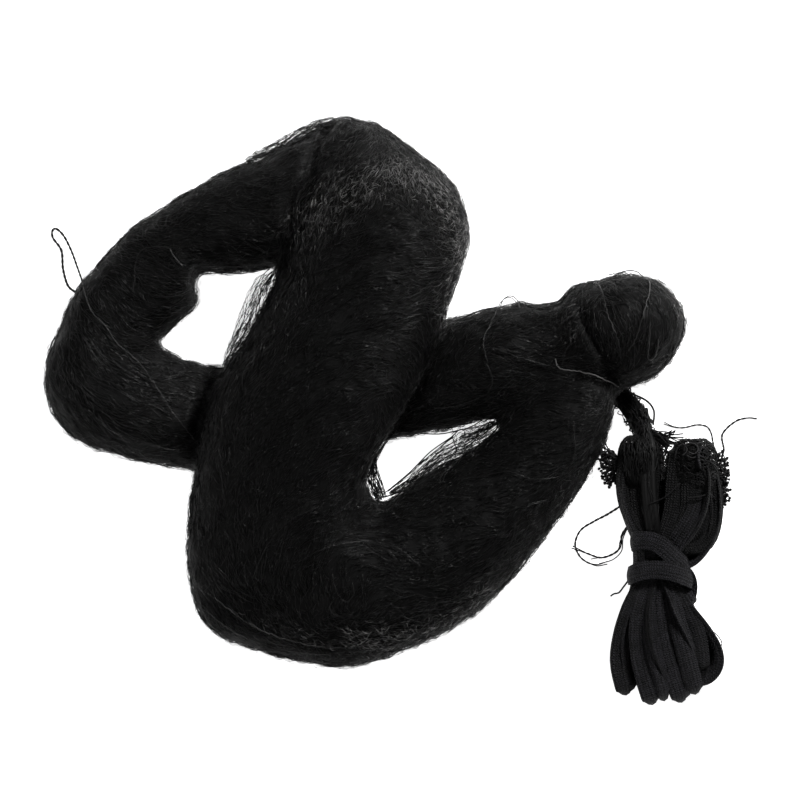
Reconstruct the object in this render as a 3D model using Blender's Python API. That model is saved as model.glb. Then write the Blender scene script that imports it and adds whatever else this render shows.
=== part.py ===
"""A bird net of fine black nylon mesh, gathered into a thick soft rope and laid down as a folded hank.

The rope starts in a wound knob, runs under its own widest fold, turns back at the far end, folds over at
the top and comes round to the knob again, which leaves two open holes. Beside it lies the hank of flat
knitted tape that edges the net, tied twice round its waist, with tufts of knotted twine and loose ends.

All sizes below are millimetres. +X is the long way of the layout, +Z is up, and the pieces lie on Z = 0.
"""

import math
import random
from collections import namedtuple

import bmesh
import bpy
import numpy as np
from mathutils import Vector

MM = 0.001

# --- the gathered net -----------------------------------------------------------------------------------

# A section of the rope, seen from above: the point on the inner edge of its bend, the point on the outer
# edge, how far its underside is lifted, and its thickness.
Section = namedtuple("Section", "inner_x inner_y outer_x outer_y lift height")

# From the knob leftwards, under the wide fold, round the far left end and up to the top.
UNDER_STRAND = (
    Section(85.0, 50.0, 85.0, 13.0, 0, 30),
    Section(56.0, 45.5, 56.0, 0.0, 0, 31),
    Section(35.0, 41.0, 38.0, -5.0, 0, 30),
    Section(7.0, 36.0, 11.0, -11.0, 0, 22),
    Section(-34.0, 27.0, -32.0, -19.0, 0, 20),
    Section(-64.0, 19.0, -66.0, -25.0, 0, 24),
    Section(-84.0, 19.0, -96.0, -24.0, 0, 29),
    Section(-91.0, 22.0, -113.0, -20.0, 0, 31),
    Section(-97.0, 24.5, -135.0, -11.0, 0, 32),
    Section(-98.5, 26.0, -146.0, 9.0, 0, 31),
    Section(-98.0, 28.5, -143.5, 27.0, 0, 31),
    Section(-96.0, 32.0, -137.0, 42.5, 0, 31),
    Section(-91.5, 38.0, -128.5, 56.5, 0, 32),
    Section(-86.0, 43.0, -116.5, 70.0, 0, 33),
    Section(-81.5, 49.0, -105.5, 80.0, 0, 34),
    Section(-79.0, 55.0, -94.5, 87.0, 0, 35),
    Section(-74.5, 58.0, -82.5, 95.5, 0, 36),
    Section(-65.5, 58.0, -68.5, 103.0, 0, 37),
    Section(-55.0, 59.5, -57.0, 108.5, 0, 38),
    Section(-44.0, 63.0, -43.5, 115.5, 1, 38),
    Section(-30.5, 68.0, -29.5, 122.5, 3, 34),
    Section(-17.0, 72.0, -19.0, 120.0, 5, 26),
)

# From the top down over the strand below, round the bottom and back up to the knob.
WIDE_FOLD = (
    Section(-18.5, 124.5, -23.5, 123.5, 10, 16),
    Section(-4.0, 120.5, -28.5, 115.0, 7, 28),
    Section(12.0, 109.0, -32.5, 102.0, 5, 40),
    Section(25.5, 97.0, -37.0, 90.5, 4, 48),
    Section(33.0, 83.0, -41.0, 78.5, 5, 50),
    Section(33.5, 68.0, -43.5, 68.0, 7, 50),
    Section(29.0, 53.0, -49.5, 53.0, 10, 47),
    Section(24.0, 39.0, -58.5, 36.5, 12, 45),
    Section(17.0, 21.0, -68.5, 19.5, 13, 44),
    Section(8.5, 3.5, -77.5, 5.5, 12, 45),
    Section(-1.0, -13.0, -81.0, -13.0, 9, 47),
    Section(-6.5, -22.0, -84.0, -32.0, 4, 50),
    Section(-8.5, -28.0, -86.0, -51.5, 0, 52),
    Section(-8.5, -32.0, -85.0, -71.5, 0, 51),
    Section(-7.5, -36.5, -77.5, -90.5, 0, 48),
    Section(-5.5, -39.5, -59.5, -102.5, 0, 45),
    Section(-3.5, -41.0, -36.0, -108.5, 0, 43),
    Section(-1.0, -40.0, -11.5, -108.0, 0, 42),
    Section(9.5, -32.0, 26.5, -92.0, 0, 40),
    Section(18.0, -27.0, 42.0, -80.5, 0, 39),
    Section(28.0, -21.5, 55.5, -66.5, 0, 38),
    Section(37.5, -15.5, 69.0, -49.5, 0, 37),
    Section(45.5, -9.0, 81.0, -32.5, 0, 36),
    Section(50.0, -3.5, 90.0, -19.0, 0, 36),
    Section(55.5, 5.0, 95.0, -4.5, 0, 36),
    Section(64.0, 17.0, 97.5, 9.0, 0, 34),
    Section(75.0, 27.5, 100.5, 24.5, 0, 30),
)

# The knob wound round both ends of the rope, from its root to its round end.
KNOB = (
    Section(67.5, 44.0, 71.0, 9.0, 4, 22),
    Section(72.5, 49.0, 77.5, 8.5, 2, 30),
    Section(79.5, 52.5, 86.0, 8.5, 1, 36),
    Section(87.0, 54.5, 92.0, 8.5, 0, 40),
    Section(94.0, 57.0, 98.0, 9.0, 0, 42),
    Section(101.5, 58.0, 104.0, 10.0, 0, 43),
    Section(110.0, 57.0, 110.5, 12.5, 0, 42),
    Section(117.0, 54.5, 117.0, 17.5, 0, 39),
    Section(122.5, 49.0, 123.0, 24.5, 0, 34),
    Section(125.5, 43.0, 126.0, 30.5, 3, 26),
    Section(127.0, 39.0, 127.0, 34.5, 9, 12),
)

ROPE_SIDES = 24
ROPE_SQUARENESS = 2.3  # 2 is an ellipse
ROPE_WAIST = 0.45  # the widest line, as a share of the height
ROPE_STEPS = 2  # stations from one section to the next
ROPE_FOLDS = 4  # lengthwise folds round a section
ROPE_FOLD_DEPTH = 0.036  # as a share of the section
ROPE_TWIST = 0.42  # radians from one section to the next
KNOB_WRAP_DEPTH = 0.022
KNOB_WRAPS_PER_SECTION = 0.5
FLOOR_CUT = 60.0  # depth of the block that flattens the underside

# --- the tape hank --------------------------------------------------------------------------------------

TAPE_WIDTH = 8.0

# A bundle of tape from the waist to its turned end: four points of its middle line, then its width and its
# height above the floor.
TapeFold = namedtuple("TapeFold", "root_x root_y bend_x bend_y belly_x belly_y end_x end_y width height")

LOWER_FOLDS = (
    TapeFold(109.0, -71.0, 102.2, -87.0, 98.6, -106.0, 102.6, -121.0, 9.4, 11.2),
    TapeFold(111.0, -71.0, 106.5, -87.5, 107.0, -106.0, 112.5, -124.5, 8.5, 14.1),
    TapeFold(113.0, -71.5, 110.5, -86.0, 112.0, -103.0, 117.0, -121.5, 5.5, 16.0),
    TapeFold(115.0, -71.5, 116.0, -87.5, 119.5, -106.0, 126.0, -122.5, 10.0, 13.7),
    TapeFold(118.0, -71.5, 121.5, -86.0, 125.5, -101.0, 129.5, -116.5, 7.5, 15.2),
    TapeFold(119.5, -71.5, 126.0, -84.0, 131.0, -97.0, 132.0, -110.0, 7.5, 13.1),
    TapeFold(119.5, -71.5, 128.2, -87.0, 139.3, -106.0, 131.0, -116.0, 4.5, 10.1),
    TapeFold(118.5, -73.0, 124.0, -77.5, 128.1, -80.8, 127.9, -84.5, 5.5, 12.2),
)
UPPER_FOLDS = (
    TapeFold(111.0, -59.0, 102.5, -45.0, 99.8, -31.0, 102.0, -16.5, 5.5, 11.9),
    TapeFold(112.5, -59.0, 107.0, -43.0, 106.5, -28.0, 109.0, -13.0, 7.5, 15.1),
    TapeFold(114.0, -59.0, 112.0, -45.0, 111.5, -34.0, 112.5, -20.0, 4.5, 12.9),
    TapeFold(114.8, -59.0, 116.5, -47.0, 116.8, -38.0, 116.6, -28.5, 6.5, 9.2),
    TapeFold(116.0, -59.0, 120.5, -43.0, 121.5, -29.0, 123.0, -15.5, 7.5, 14.2),
    TapeFold(117.5, -60.0, 127.0, -45.0, 128.0, -30.0, 129.0, -14.0, 7.5, 16.2),
    TapeFold(118.5, -60.5, 132.0, -49.0, 134.0, -32.0, 133.5, -17.5, 7.0, 13.8),
    TapeFold(119.0, -59.5, 133.0, -57.0, 138.6, -42.0, 136.5, -24.0, 5.0, 11.1),
)
FOLD_SIDES = 8
FOLD_STEPS = 2
FOLD_SQUARENESS = 2.8
FOLD_WAIST = 0.45
FOLD_SINK = 0.1  # the share of its height that the floor flattens off
FOLD_ROOT_MIDDLE = 9.3  # the height at which every fold runs inside the ties
FOLD_ROOT_SHARE = 0.42  # its thickness there, as a share of its own
FOLD_ROOT_WIDTH = 0.55  # its width there, as a share of its own
FOLD_CLOSED_TO = 0.13  # the share of its length that stays that size
FOLD_OPEN_FROM = 0.5  # the share from which it has its own size

WAIST_X, WAIST_Y = 115.0, -65.0
WAIST_LOW, WAIST_HIGH = 2.2, 16.8
WAIST_HALF_WIDTH = 9.8
WAIST_HALF_LENGTH = 11.5
WAIST_LEAN = 1.0  # how far the waist leans to +X over its length

# --- the two turns of tape that tie the hank ------------------------------------------------------------

# A turn: the middle of its ring, its outer half width and half height, and how far its +X side drops.
TieTurn = namedtuple("TieTurn", "x y half_width half_height drop")
TIE_TURNS = (
    TieTurn(115.2, -61.2, 12.8, 9.4, 10.5),
    TieTurn(115.4, -71.0, 14.6, 9.6, 2.6),
)
TIE_THICKNESS = 1.2
TIE_SQUARENESS = 2.5
TIE_STATIONS = 32

# --- the gathered selvage between the knob and the tape hank --------------------------------------------

NECK_ROUTE = (
    (98.2, 6.9, 4.5),
    (103.0, 0.5, 4.0),
    (107.0, -6.0, 4.2),
    (109.2, -11.9, 5.0),
)
NECK_WIDTHS = (6.4, 7.4, 6.6, 7.0)
NECK_HEIGHTS = (7.5, 6.6, 6.8, 8.0)
NECK_SIDES = 10
NECK_STEPS = 3

# --- tufts of knotted selvage twine ---------------------------------------------------------------------

# A tuft: the middle of its root strip, the strip's length along Y, the direction in which the middle strand
# points, the angle that the tuft spans, and how many strands it has, with their shortest and longest.
Tuft = namedtuple("Tuft", "x y z strip_length heading spread strands shortest longest seed")
TUFTS = {
    "selvage_tuft_left": Tuft(95.8, -22.8, 5.0, 11.0, 176.0, 125.0, 12, 3.4, 5.2, 3),
    "selvage_tuft_top_right": Tuft(139.6, -22.4, 5.5, 7.0, 10.0, 110.0, 9, 3.6, 5.4, 5),
    "selvage_tuft_low_right": Tuft(142.0, -33.6, 4.5, 8.0, -10.0, 80.0, 8, 2.2, 3.2, 8),
}
STRIP_WIDTH = 2.0
STRIP_HEIGHT = 4.5
STRIP_SIDES = 8
STRIP_SQUARENESS = 4.0
STRAND_WIDTH = 0.9
STRAND_SIDES = 4
STRAND_STATIONS = 4

# --- loose thread and twine ends ------------------------------------------------------------------------

Loose = namedtuple("Loose", "diameter route")
LOOSE_ENDS = {
    "thread_loop_left": Loose(
        0.7,
        (
            (-133.0, 49.4, 13.0),
            (-137.2, 52.8, 8.5),
            (-139.6, 60.2, 3.0),
            (-140.4, 68.0, 0.8),
            (-144.0, 73.4, 0.4),
            (-144.2, 76.6, 0.4),
            (-142.4, 77.2, 0.9),
            (-139.2, 74.0, 1.6),
            (-136.0, 67.8, 3.4),
            (-133.2, 60.6, 8.0),
            (-130.6, 54.0, 14.0),
        ),
    ),
    "twine_end_left_long": Loose(
        0.6,
        (
            (98.4, -41.4, 6.5),
            (93.2, -44.8, 3.2),
            (87.2, -48.0, 0.9),
            (82.0, -51.4, 0.4),
            (79.6, -56.2, 0.4),
            (80.0, -60.4, 0.5),
            (83.0, -64.4, 0.4),
            (88.4, -66.6, 0.8),
            (93.2, -65.6, 0.4),
        ),
    ),
    "twine_end_left_short": Loose(
        0.6,
        (
            (102.2, -49.2, 5.6),
            (99.4, -53.6, 1.6),
            (98.9, -58.2, 0.4),
            (96.4, -61.4, 0.4),
            (90.6, -63.4, 0.4),
            (84.6, -61.6, 0.5),
            (78.0, -58.8, 1.9),
        ),
    ),
    "twine_end_top_inner": Loose(
        0.5,
        (
            (140.2, -20.2, 9.5),
            (138.4, -15.4, 5.5),
            (137.6, -10.4, 1.6),
            (135.8, -7.4, 0.4),
            (131.6, -6.6, 0.4),
            (125.8, -7.8, 0.5),
            (121.4, -7.4, 0.4),
            (117.4, -5.8, 0.4),
        ),
    ),
    "twine_end_top_outer": Loose(
        0.6,
        (
            (141.2, -22.2, 8.6),
            (142.6, -17.2, 8.4),
            (142.2, -13.8, 3.4),
            (142.4, -10.6, 0.4),
            (145.0, -7.4, 0.4),
            (149.0, -4.6, 0.5),
            (153.6, -3.6, 0.4),
            (157.2, -4.0, 0.4),
        ),
    ),
}
POINTS_PER_DIAMETER = 1 / 2.8
LOOSE_BEVEL_RESOLUTION = 2


# --- shapes ---------------------------------------------------------------------------------------------


def clear_scene():
    for thing in list(bpy.data.objects):
        bpy.data.objects.remove(thing)


def material(name, colour, roughness):
    made = bpy.data.materials.new(name)
    made.use_nodes = True
    shader = made.node_tree.nodes["Principled BSDF"]
    shader.inputs["Base Color"].default_value = (*colour, 1.0)
    shader.inputs["Roughness"].default_value = roughness
    shader.inputs["Metallic"].default_value = 0.0
    made.diffuse_color = (*colour, 1.0)
    return made


def smooth(rows, steps):
    """The rows read along a Catmull-Rom curve through them, with this many steps from each to the next."""
    rows = np.array(rows, float)
    padded = np.vstack([2 * rows[0] - rows[1], rows, 2 * rows[-1] - rows[-2]])
    read = []
    for before, start, end, after in zip(padded, padded[1:], padded[2:], padded[3:]):
        for t in np.arange(steps) / steps:
            read.append(
                start
                + 0.5 * (end - before) * t
                + (before - 2.5 * start + 2 * end - 0.5 * after) * t**2
                + 0.5 * (3 * start - before - 3 * end + after) * t**3
            )
    read.append(rows[-1])
    return np.array(read)


def superellipse(angle, squareness):
    """The point of a unit superellipse at this angle."""
    along = math.copysign(abs(math.cos(angle)) ** (2 / squareness), math.cos(angle))
    up = math.copysign(abs(math.sin(angle)) ** (2 / squareness), math.sin(angle))
    return along, up


def loft(name, rings, look, closed=False):
    """A closed solid through these rings of points, in millimetres, capped unless the rings form a loop."""
    mesh = bmesh.new()
    loops = [[mesh.verts.new(Vector(point) * MM) for point in ring] for ring in rings]
    pairs = list(zip(loops, loops[1:]))
    if closed:
        pairs.append((loops[-1], loops[0]))
    for near, far in pairs:
        for k in range(len(near)):
            mesh.faces.new((near[k - 1], near[k], far[k], far[k - 1]))
    if not closed:
        mesh.faces.new(loops[0])
        mesh.faces.new(loops[-1])
    bmesh.ops.recalc_face_normals(mesh, faces=mesh.faces)
    data = bpy.data.meshes.new(name)
    mesh.to_mesh(data)
    mesh.free()
    data.shade_smooth()
    data.materials.append(look)
    made = bpy.data.objects.new(name, data)
    bpy.context.scene.collection.objects.link(made)
    return made


def hide(helper):
    helper.hide_render = True
    helper.display_type = "WIRE"
    return helper


def boolean(body, operation, other):
    modifier = body.modifiers.new(f"{operation.title()} {other.name}", "BOOLEAN")
    modifier.operation = operation
    modifier.solver = "EXACT"
    modifier.object = hide(other)


def floor_block(name, x, y, width, length, look):
    """A block under the floor, which a Boolean uses to make a piece's underside flat."""
    corners = [(-0.5, -0.5), (0.5, -0.5), (0.5, 0.5), (-0.5, 0.5)]
    rings = [[(x + u * width, y + v * length, z) for u, v in corners] for z in (-FLOOR_CUT, 0.0)]
    return loft(name, rings, look)


# --- pieces ---------------------------------------------------------------------------------------------


def rope_ring(row, swell):
    """The points of one section of the rope; swell gives the size of the section at an angle."""
    inner_x, inner_y, outer_x, outer_y, lift, height = row
    ring = []
    for k in range(ROPE_SIDES):
        angle = 2 * math.pi * k / ROPE_SIDES
        across, up = superellipse(angle, ROPE_SQUARENESS)
        size = swell(angle)
        share = 0.5 + 0.5 * across * size
        ring.append(
            (
                inner_x + (outer_x - inner_x) * share,
                inner_y + (outer_y - inner_y) * share,
                lift + height * (ROPE_WAIST + (1 - ROPE_WAIST) * up * size),
            )
        )
    return ring


def rope(name, sections, look):
    """A stretch of the gathered net, with shallow folds that twist slowly round it."""
    rings = []
    for index, row in enumerate(smooth(sections, ROPE_STEPS)):
        turn = ROPE_TWIST * index / ROPE_STEPS
        rings.append(
            rope_ring(
                row,
                lambda angle: 1 + ROPE_FOLD_DEPTH * math.sin(ROPE_FOLDS * angle + turn),
            )
        )
    return loft(name, rings, look)


def knob(name, look):
    """The wound end, with its wraps as shallow rings."""
    rings = []
    for index, row in enumerate(smooth(KNOB, ROPE_STEPS)):
        wrap = 2 * math.pi * KNOB_WRAPS_PER_SECTION * index / ROPE_STEPS
        size = 1 + KNOB_WRAP_DEPTH * math.sin(wrap)
        rings.append(rope_ring(row, lambda angle: size))
    return loft(name, rings, look)


def net_hank(look):
    body = rope("net_hank", UNDER_STRAND, look)
    boolean(body, "UNION", rope("wide_fold", WIDE_FOLD, look))
    boolean(body, "UNION", knob("wound_knob", look))
    boolean(body, "DIFFERENCE", floor_block("net_floor", 0.0, 0.0, 400.0, 400.0, look))


def fold_rings(fold):
    """The sections of one bundle of tape, from inside the waist to its rounded end."""
    route = [
        (fold.root_x, fold.root_y),
        (fold.bend_x, fold.bend_y),
        (fold.belly_x, fold.belly_y),
        (fold.end_x, fold.end_y),
    ]
    line = smooth(route, FOLD_STEPS)
    last = len(line) - 1
    # Two more stations round the end off.
    stations = [(float(k), 1.0) for k in range(last)]
    stations += [(last - 0.35, 0.86), (float(last), 0.42)]
    rings = []
    for place, end_size in stations:
        start = min(int(place), last - 1)
        middle = line[start] + (line[start + 1] - line[start]) * (place - start)
        along = line[min(start + 1, last)] - line[max(start - 1, 0)]
        side = np.array([-along[1], along[0]]) / np.hypot(*along)
        reached = place / last
        open_share = min(1.0, max(0.0, reached - FOLD_CLOSED_TO) / (FOLD_OPEN_FROM - FOLD_CLOSED_TO))
        opened = open_share**2 * (3 - 2 * open_share)
        width = fold.width * end_size * (FOLD_ROOT_WIDTH + (1 - FOLD_ROOT_WIDTH) * opened)
        root_low = FOLD_ROOT_MIDDLE - FOLD_ROOT_SHARE / 2 * fold.height
        root_high = FOLD_ROOT_MIDDLE + FOLD_ROOT_SHARE / 2 * fold.height
        low = root_low * (1 - opened) - FOLD_SINK * fold.height * opened
        high = root_high * (1 - opened) + fold.height * opened
        high = low + (high - low) * (0.5 + 0.5 * end_size)
        waist = low + (high - low) * FOLD_WAIST
        ring = []
        for k in range(FOLD_SIDES):
            across, up = superellipse(2 * math.pi * k / FOLD_SIDES, FOLD_SQUARENESS)
            spot = middle + side * across * width / 2
            reach = high - waist if up > 0 else waist - low
            ring.append((spot[0], spot[1], waist + up * reach))
        rings.append(ring)
    return rings


def waist_rings():
    rings = []
    for share in (-1.0, -0.8, 0.8, 1.0):
        size = 1.0 if abs(share) < 1 else 0.86
        middle_z = (WAIST_LOW + WAIST_HIGH) / 2
        half_z = (WAIST_HIGH - WAIST_LOW) / 2
        ring = []
        for k in range(2 * FOLD_SIDES):
            across, up = superellipse(math.pi * k / FOLD_SIDES, TIE_SQUARENESS)
            ring.append(
                (
                    WAIST_X - WAIST_LEAN * share + across * WAIST_HALF_WIDTH * size,
                    WAIST_Y + share * WAIST_HALF_LENGTH,
                    middle_z + up * half_z * size,
                )
            )
        rings.append(ring)
    return rings


def tape_hank(look):
    body = loft("tape_hank", waist_rings(), look)
    for index, fold in enumerate(LOWER_FOLDS + UPPER_FOLDS):
        boolean(body, "UNION", loft(f"tape_fold_{index}", fold_rings(fold), look))
    block = floor_block("tape_floor", WAIST_X, WAIST_Y, 100.0, 160.0, look)
    boolean(body, "DIFFERENCE", block)


def tie_rings(turn):
    """The band's sections round the waist: four corners at each, outer face first."""
    rings = []
    for k in range(TIE_STATIONS):
        angle = 2 * math.pi * k / TIE_STATIONS
        across, up = superellipse(angle, TIE_SQUARENESS)
        ring = []
        for inset, along in ((0, -0.5), (0, 0.5), (TIE_THICKNESS, 0.5), (TIE_THICKNESS, -0.5)):
            x = turn.x + across * (turn.half_width - inset)
            y = turn.y - across * turn.drop / 2 + along * TAPE_WIDTH
            z = turn.half_height + up * (turn.half_height - inset)
            ring.append((x, y, z))
        rings.append(ring)
    return rings


def tape_tie(look):
    first, second = TIE_TURNS
    body = loft("tape_tie", tie_rings(first), look, closed=True)
    boolean(body, "UNION", loft("second_turn", tie_rings(second), look, closed=True))


def selvage_neck(look):
    """The gathered edge of the net: a short soft neck, pinched a little along its length."""
    rows = [(*spot, width, height) for spot, width, height in zip(NECK_ROUTE, NECK_WIDTHS, NECK_HEIGHTS)]
    line = smooth(rows, NECK_STEPS)
    rings = []
    for index, (x, y, z, width, height) in enumerate(line):
        along = line[min(index + 1, len(line) - 1)][:2] - line[max(index - 1, 0)][:2]
        side = np.array([-along[1], along[0]]) / np.hypot(*along)
        ring = []
        for k in range(NECK_SIDES):
            across, up = superellipse(2 * math.pi * k / NECK_SIDES, 2.2)
            reach = across * width / 2
            ring.append((x + side[0] * reach, y + side[1] * reach, max(z + up * height / 2, 0.0)))
        rings.append(ring)
    loft("selvage_neck", rings, look)


def strand_rings(root, heading, length, rise, drop):
    """A strand of square twine: out from its root, a little up, then down towards the floor."""
    ahead = Vector((math.cos(heading), math.sin(heading), 0))
    side = Vector((-ahead.y, ahead.x, 0))
    rings = []
    for k in range(STRAND_STATIONS):
        t = k / (STRAND_STATIONS - 1)
        middle = root + ahead * length * t + Vector((0, 0, rise * math.sin(math.pi * t) - drop * t))
        size = STRAND_WIDTH / 2 * (1 - 0.25 * t)
        ring = []
        for corner in range(STRAND_SIDES):
            angle = 2 * math.pi * (corner + 0.5) / STRAND_SIDES
            spot = middle + side * size * math.cos(angle) * math.sqrt(2)
            spot.z += size * math.sin(angle) * math.sqrt(2)
            ring.append(spot)
        rings.append(ring)
    return rings


def tuft(name, shape, look):
    """A narrow strip with strands of twine fused to it, which spread out like a fan."""
    rings = []
    for level in (-0.5, 0.5):
        ring = []
        for k in range(STRIP_SIDES):
            across, along = superellipse(2 * math.pi * (k + 0.5) / STRIP_SIDES, STRIP_SQUARENESS)
            x = shape.x + across * STRIP_WIDTH / 2
            y = shape.y + along * shape.strip_length / 2
            ring.append((x, y, shape.z + level * STRIP_HEIGHT))
        rings.append(ring)
    body = loft(name, rings, look)
    draw = random.Random(shape.seed)
    for k in range(shape.strands):
        share = k / (shape.strands - 1) - 0.5
        heading = math.radians(shape.heading + share * shape.spread)
        along = shape.strip_length * 0.42 * math.sin(heading)
        level = ((k * 2) % 3 - 1) * STRIP_HEIGHT * 0.3
        root = Vector((shape.x, shape.y + along, shape.z + level))
        length = draw.uniform(shape.shortest, shape.longest) + STRIP_WIDTH / 2
        rise = draw.uniform(0.2, 0.9)
        drop = root.z - STRAND_WIDTH if level < 0 else draw.uniform(0.3, 2.0)
        rings = strand_rings(root, heading, length, rise, drop)
        boolean(body, "UNION", loft(f"{name}_strand_{k}", rings, look))


def loose_end(name, shape, look):
    """A loose end as a round tube along a smooth curve through its route."""
    dense = smooth(shape.route, 12)
    reach = np.concatenate([[0.0], np.cumsum(np.linalg.norm(np.diff(dense, axis=0), axis=1))])
    count = max(4, round(reach[-1] / shape.diameter * POINTS_PER_DIAMETER))
    wanted = np.linspace(0.0, reach[-1], count)
    points = np.stack([np.interp(wanted, reach, dense[:, axis]) for axis in range(3)], axis=1)
    points[:, 2] = np.maximum(points[:, 2], shape.diameter / 2 + 0.05)
    curve = bpy.data.curves.new(name, "CURVE")
    curve.dimensions = "3D"
    curve.bevel_depth = shape.diameter / 2 * MM
    curve.bevel_resolution = LOOSE_BEVEL_RESOLUTION
    curve.use_fill_caps = True
    spline = curve.splines.new("POLY")
    spline.points.add(count - 1)
    for target, point in zip(spline.points, points):
        target.co = (*(point * MM), 1.0)
    curve.materials.append(look)
    made = bpy.data.objects.new(name, curve)
    bpy.context.scene.collection.objects.link(made)


def main():
    clear_scene()
    net_look = material("net_nylon", (0.012, 0.012, 0.013), 0.55)
    tape_look = material("tape_knit", (0.018, 0.018, 0.023), 0.85)
    twine_look = material("selvage_twine", (0.01, 0.01, 0.011), 0.7)
    net_hank(net_look)
    tape_hank(tape_look)
    tape_tie(tape_look)
    selvage_neck(net_look)
    for name, shape in TUFTS.items():
        tuft(name, shape, twine_look)
    for name, shape in LOOSE_ENDS.items():
        loose_end(name, shape, twine_look)


main()
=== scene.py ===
"""The looks of the bird net hank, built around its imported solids.

The gathered net is a dark core with fine nylon threads laid over it, along the ways in which the mesh runs. The
tape hank is nested loops of knitted tape. The rest is closed tubes of thread and twine. Sizes are millimetres
until a mesh is made.
"""

import math
from collections import namedtuple

import bpy
import numpy as np
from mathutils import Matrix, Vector, noise as blender_noise
from mathutils.bvhtree import BVHTree


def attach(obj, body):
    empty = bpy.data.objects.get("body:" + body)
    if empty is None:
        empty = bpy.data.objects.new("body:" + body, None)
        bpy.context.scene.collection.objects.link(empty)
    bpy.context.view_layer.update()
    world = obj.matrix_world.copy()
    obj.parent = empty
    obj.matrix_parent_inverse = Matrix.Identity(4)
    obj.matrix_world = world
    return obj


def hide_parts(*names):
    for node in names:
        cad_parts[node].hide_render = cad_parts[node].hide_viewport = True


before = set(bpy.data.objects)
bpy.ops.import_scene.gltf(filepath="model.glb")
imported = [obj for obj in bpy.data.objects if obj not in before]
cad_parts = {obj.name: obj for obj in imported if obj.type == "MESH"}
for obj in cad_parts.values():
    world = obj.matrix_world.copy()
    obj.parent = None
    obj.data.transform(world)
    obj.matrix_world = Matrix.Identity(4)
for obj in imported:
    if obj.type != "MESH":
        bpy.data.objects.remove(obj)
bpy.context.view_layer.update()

MM = 0.001
TAU = 2 * math.pi

# --- view and light ---

PHOTO_SIDE_PX = 800
PX_PER_MM = 2.35  # at VIEW_PLANE
ORIGIN_PX_X, ORIGIN_PX_Y = 389.5, 409.5  # where the frame's origin lies in the picture
VIEW_PLANE = 16  # the height, in millimetres, at which that scale holds
LENS, SENSOR = 300, 36
FLOOR_SIZE, WALL_HEIGHT, WALL_SIDES = 16000, 8000, 48
FLOOR_GAP = 0.05  # the least height of tape and knots over the floor

# --- the gathered net ---

CORE_VOXEL = 2.3
CORE_SMOOTHING = 4
CORE_INSET = 0.8  # how far it lies inside the solid
CORE_LUMP = 0.7  # how deep its shallow folds are
CORE_LUMP_SIZE = 9
CORE_LOWEST, THREADS_LOWEST = 0.25, 0.15
THREAD_SIDES = 3
THREAD_SUNK = 0.6  # how far its ends can sink in

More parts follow.
